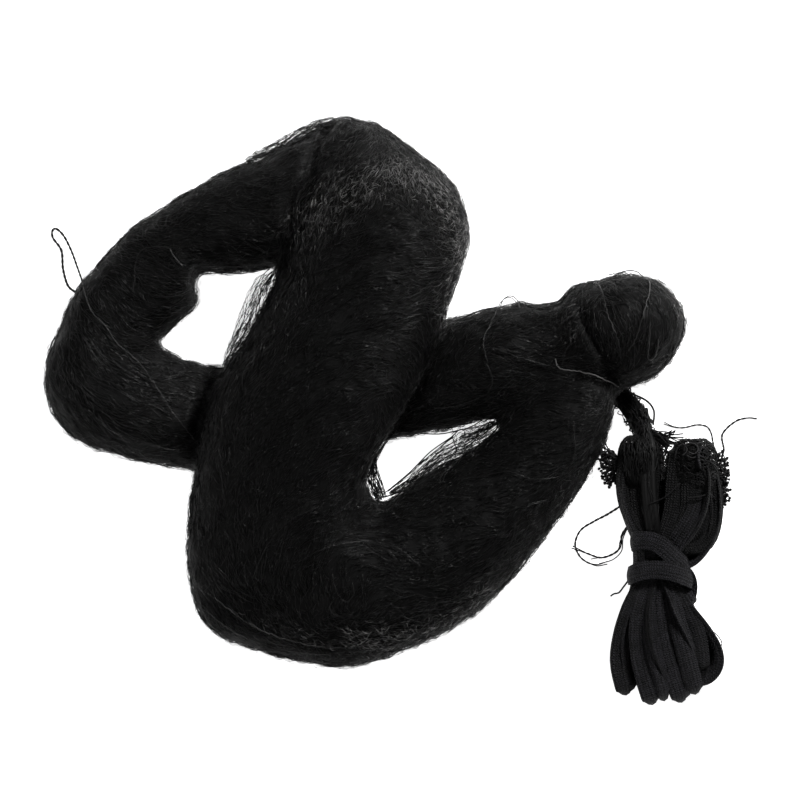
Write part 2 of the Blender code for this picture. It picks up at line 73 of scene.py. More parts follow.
# The way in which the threads run at a place on top of the net: degrees from +X towards +Y.
FLOW = (
    # the far left arm, from the top round to where it goes under
    (-25.3, 114.7, 30), (-42.3, 106.2, 20), (-50.9, 89.1, 0), (-59.4, 106.2, 27), (-67.9, 89.1, 5),
    (-63.6, 70, -8), (-80.6, 97.7, 33), (-84.9, 82.8, 12), (-82.8, 65.7, -5), (-101.9, 82.8, 42),
    (-101.9, 70, -20), (-114.7, 70, -30), (-91.3, 50.8, -10), (-125.3, 57.2, 50), (-110.4, 50.8, -40),
    (-101.9, 31.7, -5), (-123.2, 38.1, -50), (-140.2, 25.3, 80), (-133.8, 8.3, -60), (-114.7, 14.7, -30),
    (-101.9, 4, -8), (-84.9, 8.3, -5), (-110.4, -8.7, -15), (-89.1, -13, -10), (-123.2, -8.7, -45),
    (-93.4, 18.9, 5),
    # the wide fold, from the top down
    (-18.9, 122.3, 90), (-33.8, 110.4, 50), (-16.8, 101.9, 38), (-4, 110.4, 60), (8.7, 106.2, 105),
    (4.5, 95.5, 100), (-8.3, 93.4, 65), (17.2, 97.7, 125), (23.6, 87, 145), (13, 84.9, 110),
    (-33.8, 89.1, 65), (-38.1, 72.1, 85), (-25.3, 78.5, 75), (-12.6, 78.5, 35), (4.5, 76.4, 20),
    (21.5, 74.3, 165), (30, 67.9, 25), (13, 59.4, -5), (-1.9, 59.4, 15), (-18.9, 61.5, 32),
    (-38.1, 53, 80), (23.6, 50.8, 25), (8.7, 40.2, 8), (-8.3, 36, 22), (-25.3, 33.8, 35),
    (-44.5, 38.1, 65), (17.2, 33.8, -65), (4.5, 21.1, -25), (-8.3, 16.8, 12), (-23.2, 14.7, 30),
    (-42.3, 16.8, 45), (-59.4, 16.8, 60), (10.9, 12.6, -72), (0.2, -4.5, -72), (-16.8, -4.5, 30),
    (-29.6, -17.2, 45), (-50.9, -4.5, 45), (-67.9, -4.5, 80), (-6.2, -17.2, 70), (-74.3, -25.7, 90),
    (-59.4, -30, 60), (-38.1, -30, 48), (-18.9, -34.3, 38),
    # round the bottom, where the threads swirl
    (-80.6, -55.5, 95), (-65.7, -59.8, 92), (-48.7, -64, 82), (-33.8, -57.7, 55), (-16.8, -51.3, 12),
    (0.2, -55.5, -5), (0.2, -42.8, 25), (17.2, -38.5, 30), (-23.2, -76.8, 90), (-14.7, -78.9, 70),
    (-33.8, -81.1, 100), (-50.9, -85.3, 108), (-70, -81.1, 112), (-38.1, -98.1, -25), (-21.1, -102.3, -5),
    (-21.1, -91.7, -10), (-4, -89.6, 8), (0.2, -72.6, -5), (17.2, -72.6, 12), (17.2, -89.6, 28),
    (-59.4, -98.1, -40), (34.3, -64, 30), (38.5, -47, 15), (34.3, -30, 20), (55.5, -55.5, 50),
    (59.8, -38.5, 30), (59.8, -17.2, 5), (72.6, -38.5, 62), (76.8, -17.2, 20), (89.6, -13, 75),
    (72.6, -4.5, 5), (85.3, 4, 8), (93.8, 8.3, 80), (87.4, 16.8, 5),
    # the strand that goes under the wide fold
    (25.7, 29.6, 48), (21.5, 8.3, 28), (38.5, 33.8, 40), (42.8, 12.6, 10), (55.5, 27.4, -20),
    (64, 38.1, 10), (68.3, 16.8, 0), (76.8, 33.8, 50), (15.1, -2.3, 20), (34.3, -0.2, 20),
    # the knob
    (85.3, 50.9, 45), (91.7, 36, -65), (102.3, 50.9, -35), (108.7, 33.8, 78), (100.2, 25.3, 88),
    (115.1, 46.6, -60), (123.6, 38.1, -80), (121.5, 25.3, 65), (110.9, 16.8, 20),
)
FLOW_REACH = 7  # how soft the change is from one way to the next

# A layer of threads, which lie together in locks. They stray from the flow by some degrees, their middles stand
# up by the bulge, they take a share of the painted sheen and shade, and they cover a share of the underside.
Layer = namedtuple(
    "Layer", "threads lock points step stray curve wave low high bulge diameter sheen underside where seed"
)
NET_LAYERS = {
    "net_threads_deep": Layer(10500, 3, 4, 2.2, 14, 0.06, 0.18, 0.1, 0.6, 0.2, 0.24, 0.3, 0.2, "all", 11),
    "net_threads_long": Layer(3600, 3, 7, 3, 8, 0.03, 0.12, 0.3, 0.9, 0.35, 0.2, 0.6, 0.15, "all", 12),
    "net_threads_fine": Layer(15000, 2, 4, 1.8, 18, 0.12, 0.3, 0.4, 1.2, 0.35, 0.18, 1, 0.12, "all", 13),
    "net_threads_curly": Layer(4600, 1, 5, 1.15, 32, 0.3, 0.6, 0.5, 1.3, 0.6, 0.16, 1, 0.08, "all", 14),
    "net_edge_fuzz": Layer(3000, 1, 5, 1.2, 50, 0.3, 0.6, 0.3, 0.95, 0.8, 0.13, 0.8, 0, "edge", 15),
    # the curls lie only where sheen is painted in, and carry most of that painted highlight
    "net_curls": Layer(6000, 1, 5, 0.85, 30, 0.25, 0.5, 0.6, 1.5, 0.4, 0.13, 1.35, 0, "sheen", 16),
}
LOCK_SPREAD = 1.2  # how far the threads of a lock lie apart
LOCK_SHARED = 0.8  # how much of its way a thread shares with its lock

# How strong something is along a line on the net, how wide, and the line's points.
Line = namedtuple("Line", "amount width route")

# Painted sheen: where the net's threads are painted lighter, as highlights, or painted darker (under 0), as shade.
PAINTED_SHEENS = [Line(*row) for row in (
    (0.62, 11, ((-39, 76), (-33, 80.5), (-25.3, 87), (-12, 94), (0, 99))),
    (0.9, 10, ((3, 101), (12, 98), (21, 92), (28, 83), (30.5, 72.1))),
    (0.95, 8.5, ((32.1, 68), (31, 58), (28.5, 49))),
    (0.3, 9, ((-20, 116), (-10, 112), (4, 116))),
    (0.5, 6, ((-110.4, 76.4), (-89.1, 93.4), (-59.4, 110.4), (-38.1, 118.9))),
    (0.3, 8, ((-60, -92), (-25, -98), (8, -95), (34, -86), (58, -68), (74, -48))),
    (0.65, 9, ((-14, -97), (8, -97), (28, -90), (42, -79))),
    (1, 5, ((30, 95), (33, 84), (32, 66), (28, 50), (24.5, 38))),
    (0.6, 4, ((89.6, 55.1), (110.9, 56), (125.7, 38.1), (121.5, 18.9), (110.9, 10.4))),
    (0.35, 6, ((72, 46), (78, 38), (76, 30))),
    (-0.7, 14, ((-128, 30), (-122, 8), (-108, -8), (-92, -20))),
    (-1, 13, ((-20, -48), (-8, -55), (4, -62))),
)]

# Where one stretch of the net lies over the next, its edge sinks in by this much.
CREASES = [Line(*row) for row in (
    (3.6, 2.2, ((-24, 124.9), (-30, 113), (-34.7, 96.8), (-41.1, 86.6), (-41.9, 76.4), (-46.2, 61.5))),
    (3, 2.2, ((-68.7, 19.4), (-75.5, 16), (-78.1, 9.1), (-80.2, -2.3), (-81.5, -19.4), (-83.2, -24.9))),
    (3, 2.2, ((23.2, 39.4), (16.4, 20.6), (8.3, 3.6), (-1.9, -14.3))),
    (3.5, 2.2, ((82.3, 53.8), (80.2, 46.6), (83.2, 36), (88.7, 25.3), (94.7, 13.4))),
    (2, 2.6, ((48.7, -3.2), (64, 6.2), (78.9, 14.7))),
)]

# Where the loose outer net stands out from the solid's side by this much, or lies closer.
SWELLS = [Line(*row) for row in (
    (1.7, 9, ((-146, 12), (-142, -5), (-131, -15))),
    (1, 9, ((-87, -32), (-85, -62), (-78, -88))),
    (0.7, 8, ((2, -107), (25, -98), (55, -70))),
    (-1.7, 7, ((-84, 98), (-60, 110.5), (-38, 119))),
    (-2.4, 6, ((-57, 110), (-44, 116.5), (-33, 121.5))),
    (-3.2, 4.5, ((-81, 57.5), (-78, 52))),
    (3, 4.5, ((-93, 33), (-88, 40), (-84, 44.5))),
    (-1.4, 8, ((34.3, 84), (34.5, 64), (28, 44))),
    (-1.5, 8, ((-64, -105), (-34, -109))),
    (-2.4, 4, ((63, 46), (71, 47))),
    (0.9, 3, ((74.5, 51), (78.5, 52.5))),
    (-1.8, 6, ((117, 52), (124, 44), (126, 33), (124.5, 27))),
    (-1.6, 5, ((-50.5, 54), (-56.5, 42), (-64, 28.5))),
    (-0.1, 7, ((16, 105), (26, 96))),
    (-0.6, 6, ((96, 57), (107, 58))),
    (1.2, 7, ((-145, 24), (-142, 38), (-134, 51))),
    (0.8, 6, ((-80, -88), (-70, -97))),
    (0.9, 7, ((66, -57.7), (74, -46), (81, -34.3))),
    (0.9, 7, ((-131.7, 53), (-123.2, 65.7), (-110.4, 78.5))),
    (1.5, 4, ((-98, 25), (-92, 21.5), (-84, 19))),
)]

# Single threads that lie on the net: the diameter, how light it is from 0 to 1, and its way.
LYING_THREADS = (
    (0.38, 0.46, ((-130.6, 54), (-129.1, 49.1), (-125.7, 41.1), (-120.2, 35.5), (-114.7, 27.4), (-106.6, 20.6),
        (-99.8, 11.3), (-91.7, -1.1), (-82.8, -12.6))),
    (0.36, 0.5, ((-108.3, 49.6), (-107, 62.8), (-104, 67.9), (-94.3, 68.7), (-90.9, 64.5), (-87, 60.2))),
    (0.38, 0.47, ((54.7, 44.9), (51.7, 47.9), (48.3, 46.6), (46.2, 43.2), (42.8, 36.4), (39.8, 28.7), (41.5, 19.4),
        (43.6, 12.6), (41.5, 7), (34.7, 3.6), (26.6, 1.1), (18.9, 0.6))),
    (0.42, 0.52, ((93.4, 57.7), (100.6, 58.5), (106.6, 56.8), (110, 54.3), (109.1, 47.4), (104, 30.4),
        (100.6, 24.5))),
    (0.34, 0.47, ((82.3, 52.6), (86.2, 54.7), (89.6, 50.9), (92.1, 40.2), (94.7, 33.8), (96.8, 27.4), (97.7, 21.9))),
    (0.42, 0.52, ((110, 36.8), (109.6, 27.4), (109.1, 21.9), (110.9, 21.1), (113, 24.5), (113.4, 29.6))),
    (0.5, 0.6, ((97.2, 9.8), (91, 12.6), (85.3, 14.9), (77.5, 16.4), (71.5, 17.6), (70.4, 21.5))),
    (0.3, 0.47, ((43.6, 26.2), (52.1, 23.2), (61, 20.4), (70.4, 17.4))),
    (0.34, 0.47, ((73, 18.9), (74.7, 25.3), (78.5, 28.7))),
    (0.34, 0.47, ((69.6, 33), (75.5, 38.5), (80.6, 43.2))),
    (0.34, 0.47, ((76.8, 27), (76.4, 34.7), (79.8, 40.2), (83.6, 42.3))),
    (0.3, 0.47, ((28.3, -29.6), (38.5, -28.3), (50.4, -26.2), (60.6, -29.1), (71.7, -28.3), (76.8, -23.2),
        (78.5, -16.4), (77.7, -4.5))),
    (0.3, 0.47, ((-25.3, 107), (-29.1, 109.1), (-27.4, 113.4), (-31.7, 112.1), (-30, 117.2))),
    (0.26, 0.47, ((41.5, 26.2), (45.7, 25.7), (55.5, 24))),
    (0.26, 0.47, ((5.3, -86.2), (9.5, -84.5), (13, -81.1))),
    (0.26, 0.47, ((-4, -62), (-1, -60), (2.3, -60.8))),
    (0.26, 0.47, ((-94.9, 77.4), (-94.5, 80), (-93.8, 82.1))),
    (0.34, 0.5, ((-78.5, -84.2), (-63.6, -95), (-42.3, -102), (-25.3, -103.7))),
    (0.3, 0.47, ((-74.3, -79.1), (-55.1, -92.7), (-29.6, -100.3), (-8.3, -99.5))),
    (0.34, 0.5, ((-22.3, -102.5), (-4, -101.2), (17.2, -94.4), (34.3, -84.2))),
    (0.3, 0.47, ((-8.9, -97.1), (5.2, -96.1), (19.4, -90.7), (38.5, -79.2))),
    (0.3, 0.42, ((-38.1, -64), (-25.3, -57.7), (-8.3, -55.5), (4.5, -58.9), (13, -66.2))),
    (0.3, 0.42, ((-57.2, -70.4), (-51.7, -57.7), (-42.3, -47), (-29.6, -40.6))),
    (0.34, 0.47, ((-24.2, -69.4), (-22, -76.8), (-18.5, -81.1), (-15, -77.8), (-15.5, -73))),
)

LYING_SEED, LYING_JITTER = 31, 0.12
LYING_LIFT = 1.5  # how far above the skin they lie

# Open net beside the holes: threads run between two rails, most of them near the first.
Veil = namedtuple("Veil", "threads links diameter seed near_rail far_rail")
VEILS = [Veil(*row) for row in (
    (76, 400, 0.25, 21, ((-45.6, 60, 27), (-47, 54, 27), (-50, 45, 27), (-53.5, 36, 26), (-58.5, 28, 24),
        (-65, 21.5, 18), (-69, 17.5, 12)), ((-48.5, 61.4, 22), (-56, 56.4, 20), (-60.8, 47, 19), (-63.8, 38.5, 18),
        (-67, 30.5, 16), (-70, 23.5, 13), (-71.5, 18.5, 9))),
    (70, 170, 0.3, 22, ((-1, -13.5, 22), (-5.5, -19, 20), (-9.5, -25.5, 18), (-8, -33, 16), (-5, -40, 14)),
        ((-1.5, -13.2, 20), (-3.5, -17.5, 17), (-5.8, -22.5, 14), (-3.5, -31, 12), (-1, -37.5, 10))),
    (26, 400, 0.26, 23, ((49, -4.2, 16), (43.6, -11.2, 17), (35.1, -17.6, 18), (23.2, -23.8, 18), (13, -30.6, 17),
        (1.1, -36.8, 15)), ((47, -4.4, 14), (36, -7.5, 15), (27, -12, 15), (17.2, -18.6, 14), (8.7, -27, 13),
        (-1.1, -34.9, 12))),
    (8, 110, 0.28, 25, ((26, -9.2, 17), (33, -7.6, 17), (38.5, -6.2, 17), (46.2, -3.6, 17)), ((27.9, -19.8, 17),
        (34, -16.5, 17), (39, -13.4, 17), (46.6, -6.4, 17))),
    (40, 420, 0.24, 24, ((-61, 104, 24), (-50, 108.5, 25), (-40, 113, 25), (-31, 118.4, 24), (-23, 121.8, 22)),
        ((-61.5, 108, 18), (-50.5, 113, 18), (-41, 118.6, 18), (-31, 123.4, 17), (-23, 125.2, 17))),
    (30, 240, 0.24, 26, ((107, 54, 24), (112, 52, 24), (117, 47, 23), (120.5, 40, 22), (121, 33, 22), (118, 26, 22),
        (113, 20.5, 22), (108, 16, 22)), ((108, 57, 19), (115.1, 55.8, 16), (121.2, 50.5, 16), (125.8, 41.3, 15),
        (126.3, 33.8, 15), (122.8, 25.3, 15), (116.6, 17.4, 15), (110, 12.4, 15))),
)]
VEIL_POINTS = 12  # along each of its threads
VEIL_SHADE = 0.06
VEIL_JITTER, LINK_JITTER = 0.16, 0.22

# Single threads that cross a hole in the air: the diameter and the way.
AIR_THREADS = (
    (0.55, ((28.7, -9.2, 17), (26.6, -11.5, 16), (17.2, -18.2, 14), (8.7, -26.7, 13), (-1.5, -35.2, 12))),
    (0.4, ((27.2, -11.5, 16), (18.4, -18.6, 14), (10, -26.2, 13), (-0.6, -34.9, 12))),
    (0.4, ((26.6, -11.7, 16), (21.5, -16, 15), (17.4, -19.4, 14), (12.3, -23.8, 14))),
    (0.45, ((26.6, -11.5, 16), (28.3, -16.4, 16), (27.9, -20.6, 17))),
    (0.55, ((13, -10.2, 18), (21.5, -10.4, 17), (27.9, -9.2, 17), (34.3, -7.5, 17), (39.5, -4.5, 18))),
    (0.65, ((-5.5, -37.8, 16), (-0.6, -36.8, 15), (4.5, -35.1, 15), (9.5, -33.6, 17))),
    (0.35, ((-1.5, -14.2, 19), (-4.8, -20.6, 17), (-5.4, -23.8, 16), (-2.8, -32, 14), (-1.2, -37, 13))),
    (0.45, ((90.5, 50.5, 24), (93, 54.6, 22), (98.5, 58.4, 21), (105, 58.6, 21), (109.5, 54, 24))),
    (0.4, ((80.5, 48.5, 24), (84, 53, 22), (88, 54.2, 22), (91, 51, 24))),
    (0.42, ((46.6, 42, 26), (48.2, 46.4, 22), (51.2, 48.3, 20), (54.2, 46.6, 22), (55.4, 42.6, 26))),
)

# --- the tape hank ---

TAPE_WIDTH = 8
TAPE_THICKNESS = 0.9
TAPE_RIM = 0.45  # how much thicker its edges are
RIM_PLACE, RIM_WIDTH = 0.93, 0.08  # as shares of the half width
TAPE_ACROSS = (-1, -0.93, -0.8, -0.4, 0, 0.4, 0.8, 0.93, 1)  # the places of its points
TAPE_SEED = 41
NEST_GAP = 1.5  # from one loop to the loop inside it
NEST_LOOPS = 2
NEST_SPREAD_FROM = 7.4  # folds wider than this have their two loops side by side

# Bundles of tape, each with its middle line from the waist to its turned end.
TapeFold = namedtuple("TapeFold", "root_x root_y bend_x bend_y belly_x belly_y end_x end_y width height tone")
TAPE_FOLDS = [TapeFold(*row) for row in (
    (109, -71, 102.6, -87, 98.9, -106, 102, -121.6, 9.4, 11.2, 0.3),
    (111, -71, 106.5, -87.5, 107, -106, 112.3, -125.8, 8.5, 14.1, 0.6),
    (113, -71.5, 110.5, -86, 112, -103, 117, -124.2, 5.5, 16, 0.7),
    (115, -71.5, 116, -87.5, 119.5, -106, 126, -124.4, 10, 13.7, 0.7),
    (118, -71.5, 121.5, -86, 125.5, -101, 130.5, -121.4, 7.5, 15.2, 0.6),
    (119.5, -71.5, 126, -84, 131.4, -97, 133, -112, 7.5, 12, 0.3),
    (119.5, -71.5, 127, -84, 133.6, -99, 132.4, -116.4, 4.5, 9, 0.3),
    (118.5, -73, 124, -77.5, 128.1, -80.8, 127.9, -84.5, 5.5, 12.2, 0.5),
    (111, -59, 102.5, -45, 99.8, -31, 102, -16.5, 5.5, 11.9, 0),
    (112.5, -59, 107, -43, 106.5, -28, 109, -13, 7.5, 12.4, 0),
    (114, -59, 112, -45, 111.5, -34, 112.5, -20, 4.5, 12.9, 0),
    (114.8, -59, 116.5, -47, 116.8, -38, 116.6, -24.5, 6.5, 9.2, 0),
    (116, -59, 120.5, -43, 121.5, -29, 123, -15.5, 7.5, 14.2, 0.05),
    (117.5, -60, 127, -45, 128, -30, 129, -16, 7.5, 15.4, 0.05),
    (118.5, -60.5, 132, -49, 134, -32, 133.5, -19.5, 7, 13.4, 0.05),
    (118.8, -61, 129.4, -58.4, 135.4, -46, 134.5, -24, 7, 10.4, 0),
    (119, -60.5, 134, -57.6, 138.6, -43, 136.5, -24, 6.5, 11.1, 0.05),
)]
FOLD_STEPS = 10
FOLD_STATIONS = 20
FOLD_THROUGH = 14  # how far each fold goes on through the waist, past its root
FOLD_TURN_STATIONS = 7
FOLD_ROOT_MIDDLE = 9.3  # the height at which every fold runs inside the ties
FOLD_ROOT_SHARE = 0.66  # its thickness there, as a share of its own
FOLD_ROOT_WIDTH = 0.85  # its width there, as a share of its own
FOLD_CLOSED_TO = 0.13  # the share of its length that stays that size
FOLD_OPEN_FROM = 0.5  # the share from which it has its own size
FOLD_END_LENGTH = 5  # how far from its end a loop starts to turn under
FOLD_NARROWS = 0.65  # how much narrower it is at its very end
FOLD_LOWEST = 0.7
FOLD_THINNEST = 1.2
TIE_INSIDE_ACROSS, TIE_INSIDE_UP = 13, 7  # half the hollow of the tie, for the folds that pass through
TAPE_DARK_FROM, TAPE_DARK_OVER, TAPE_DARKENS = -46, 14, 0.25  # from this y up, the hank is duller

# Tapes by themselves: the width, then points of the middle line, each with the bank in degrees that lifts the
# left edge there.
TAPE_RUNS = {
    "open_loop": (7.6, ((117, -72, 9.5, 10), (122, -79, 11, 24), (127, -86, 11, 34), (133.8, -94.4, 9, 38),
        (138.6, -102.6, 7.2, 40), (139.2, -109.2, 6.4, 42), (135.6, -114, 6, 44), (129.6, -114.6, 6.2, 44),
        (125, -110.6, 6.6, 34), (123.6, -104, 7, 24))),
    "ridged_strip": (6, ((112.8, -72, 12.5, 60), (110.2, -80, 14.5, 68), (109.4, -90, 15.6, 72),
        (110.8, -101, 15.4, 72), (114.4, -111.5, 13.5, 70), (118.4, -119.5, 8.5, 66))),
    "groove_edge": (6, ((117.8, -72, 13, -55), (120.4, -80, 14.6, -62), (123.4, -88, 15, -66),
        (127.4, -96, 13.5, -68), (131, -104, 10.5, -66), (131.6, -111, 7, -60))),
    "left_edge": (6.5, ((107.5, -72, 10, 50), (103.4, -79.5, 10.5, 60), (99.5, -90, 10, 66), (97.4, -102, 9, 66),
        (98.4, -112.5, 7.4, 62), (102.5, -118.6, 5.4, 60))),
    "far_right": (6.5, ((120.5, -67.5, 9, -50), (129.2, -64.4, 8.8, -60), (135.2, -58, 8.8, -68),
        (138.8, -49.5, 8.8, -72), (139.6, -39.5, 8.6, -74), (138.6, -30, 7.6, -74), (136.4, -22.5, 6, -70))),
    "waist_left": (7.6, ((107.6, -46, 9.5, 40), (106.4, -53, 11, 48), (106, -60, 11.5, 50), (106, -67, 11, 50),
        (105, -76, 10, 46), (103, -84, 9, 40))),
    "under_right": (8, ((117, -66, 5, 0), (123, -64, 5.4, 0), (129, -60.6, 5.8, 0), (133.4, -53, 6.4, 0),
        (135, -44, 6.4, 0))),
    "bowed_tape": (8, ((118.8, -63, 12.5, -8), (122.4, -56.5, 15, -6), (126.2, -50.5, 16.4, 4),
        (129.4, -45.2, 15.6, 12), (131.4, -40, 13.8, 16), (131.4, -32, 12, 16), (131, -24, 11, 16))),
    "upper_edge": (6.5, ((120, -62, 11, -60), (127, -54, 14, -68), (132, -46, 15.2, -74), (134.4, -37, 14.6, -76),
        (134.6, -27, 12.8, -76), (132.4, -19.4, 10, -74))),
    "upper_left": (6, ((108, -60.5, 10, -50), (102.8, -51, 10.6, -62), (99.2, -41, 10.4, -68), (98.4, -30, 9.6, -70),
        (99.6, -20.5, 8, -70))),
    "curl_side": (5, ((131, -25, 16.5, -72), (130.4, -19.4, 15.8, -78), (132.4, -15.8, 13.4, -80),
        (135.2, -17.8, 11.6, -80), (135, -21.4, 11.4, -76))),
    "tucked_end": (7, ((119.5, -66.5, 15.5, 10), (124.6, -69, 14, 20), (127.6, -73, 11, 30), (127.8, -78.5, 8.5, 34),
        (125.4, -83, 6.5, 30))),
}

# A turn of the tie: its ring, and its line over the top as shares of the half width and the y there.
TieTurn = namedtuple("TieTurn", "x half_width half_height line")
TIE_TURNS = [TieTurn(*row) for row in (
    (115.2, 12.8, 9.2, ((-1, -56.2), (-0.4, -55.8), (0, -57.6), (0.35, -61.2), (0.7, -65.2), (1, -68.6))),
    (115.4, 14.4, 9.6, ((-1, -70.8), (-0.5, -68.6), (0, -68.2), (0.5, -69.4), (1, -72.6))),
)]
TIE_SQUARENESS = 2.5
TIE_STATIONS = 72
TIE_CLEAR = 0.1
TIE_WAVE = 0.2

# --- the gathered selvage ---

# The middle line of the neck and of the band of net that goes on over the hank: x, y, z, width, height.
NECK_ROUTE = (
    (96.6, 10.4, 5, 6.5, 7), (98.6, 6.5, 4.8, 8.6, 8.2), (103, 0.5, 4.6, 10.2, 7.6), (107, -5.6, 5.2, 9.8, 7.8),
    (109, -11.9, 8.5, 8.6, 8), (110, -17, 12, 7.4, 6), (110, -27, 13.4, 7.6, 4.6), (110.6, -38, 13.8, 7.4, 4.4),
    (111.8, -48, 13.4, 7, 4.4), (112.6, -56, 11.5, 7, 5),
)
NECK_SPACING = 1.4
NECK_STRANDS = 52
NECK_STRAND = 0.62  # diameter
NECK_HEART = 4.2  # the diameter of its three inner cords
NECK_HEARTS_ASIDE = (-0.22, 0, 0.22)  # their places, as shares of the width
NECK_FRINGE = 90  # how many small loops stand out from it
NECK_FRINGE_TO = 0.36  # the share of its length that has them
NECK_TURNS = 0.8  # how far the strands wind round the neck, in turns
NECK_SEED = 51

TWINE = 0.62  # diameter
KNOT = 1.5  # diameter

# A fan of looped and knotted twine: its root, lowest and highest, heading and spread in degrees, the distances
# of its first and last row, its rows and the spots in each.
Tuft = namedtuple("Tuft", "x y low high heading spread first last rows around seed")
TUFTS = {
    "selvage_tuft_left": Tuft(101.5, -22, 1.4, 8.6, 193, 84, 3.6, 12.2, 5, 9, 3),
    "selvage_tuft_top_right": Tuft(135.6, -27.2, 1.6, 8.6, 8, 86, 2.6, 9.4, 4, 7, 5),
    "selvage_tuft_low_right": Tuft(138, -35, 1.6, 7.6, -6, 104, 2, 7, 4, 8, 8),
}
TUFT_LAYERS = 3
TUFT_JITTER = 0.32
TUFT_LOWEST = 0.7
TUFT_ROWS_REACH = 0.82  # the share of its reach that the rows take
TUFT_SLOPE = 0.45  # how much lower its last row is
TUFT_OVAL = 1.25  # how much longer it is along Y
TUFT_LINKED, TUFT_STUBS = 0.92, 0.62  # the shares of the links and of the end stubs that are there

# The stretched net's upper and lower corners.
STRETCHED_NET = np.array([[(112.4, -11.5, 9), (119.5, -12.5, 12.5)], [(113.6, -31, 10), (118.8, -29, 11)]])
STRETCHED_ROWS, STRETCHED_COLUMNS = 16, 8
STRETCHED_TWINE, STRETCHED_KNOT, STRETCHED_SEED = 0.65, 1.1, 61

# The threads that fan out at its top: where they start, the step to the next one's start, and where they end.
FAN_THREADS = 26
FAN_START, FAN_STEP, FAN_END = np.array([(111.6, -8.4, 8.5), (0.1, -0.25, 0), (117.5, -8.2, 12)])

# Gathered net over the hank, wound as it runs down, on hearts of packed cord (x and half length).
Mass = namedtuple("Mass", "middle reach threads winding light hearts seed")
MASSES = {
    "selvage_mass_left": Mass(
        (107.2, -22.8, 5.5), (9.9, 11.8, 11), 580, 0.7, 0.1, ((102.6, 7.6), (106.6, 9.6), (110.8, 9)), 62
    ),
    "selvage_mass_right": Mass(
        (129.8, -25, 8.6), (10.4, 12.4, 7.9), 540, 3.2, 0.3, ((125, 8.2), (129.4, 9.4), (133.8, 8)), 63
    ),
}
MASS_HEART = 6.4  # diameter
MASS_POINTS = 8
MASS_SIDES = 4

# --- loose thread and twine ends ---

Loose = namedtuple("Loose", "diameter length far_end route")
LOOSE_ENDS = {
    "thread_loop_left": Loose(0.7, 67, "object", ((-133, 49.4, 13), (-137.2, 52.8, 8.5), (-139.6, 60.2, 3),
        (-140.4, 68, 0.8), (-144, 73.4, 0.4), (-144.2, 76.6, 0.4), (-142.4, 77.2, 0.9), (-139.2, 74, 1.6),
        (-136, 67.8, 3.4), (-133.2, 60.6, 8), (-130.6, 54, 14))),
    "twine_end_left_long": Loose(0.6, 46.1, "bare", ((98.4, -41.4, 6.5), (93.2, -44.8, 3.2), (87.2, -48, 0.9),
        (82, -51.4, 0.4), (79.6, -56.2, 0.4), (80, -60.4, 0.5), (83, -64.4, 0.4), (88.4, -66.6, 0.8),
        (93.2, -65.6, 0.4))),
    "twine_end_left_short": Loose(0.6, 35.4, "bare", ((102.2, -49.2, 5.6), (99.4, -53.6, 1.6), (98.9, -58.2, 0.4),
        (96.4, -61.4, 0.4), (90.6, -63.4, 0.4), (84.6, -61.6, 0.5), (78, -58.8, 1.9))),
    "twine_end_top_inner": Loose(0.5, 35.7, "bare", ((140.2, -20.2, 9.5), (138.4, -15.4, 5.5), (137.6, -10.4, 1.6),
        (135.8, -7.4, 0.4), (131.6, -6.6, 0.4), (125.8, -7.8, 0.5), (121.4, -7.4, 0.4), (117.4, -5.8, 0.4))),
    "twine_end_top_outer": Loose(0.6, 33.3, "bare", ((141.2, -22.2, 8.6), (142.6, -17.2, 8.4), (142.2, -13.8, 3.4),
        (142.4, -10.6, 0.4), (145, -7.4, 0.4), (149, -4.6, 0.5), (153.6, -3.6, 0.4), (157.2, -4, 0.4))),
}

PLY_SHARE = 1.25  # a ply's diameter, as a share of the cord's
PLY_APART = 0.3  # how far a ply's middle is from the cord's, as a share of the diameter
PLY_PITCH = 5
PLY_TWISTED_TO = 0.86  # the share of a bare end's length that stays twisted
PLY_FRAY = 0.5  # how far the plies part at a bare end

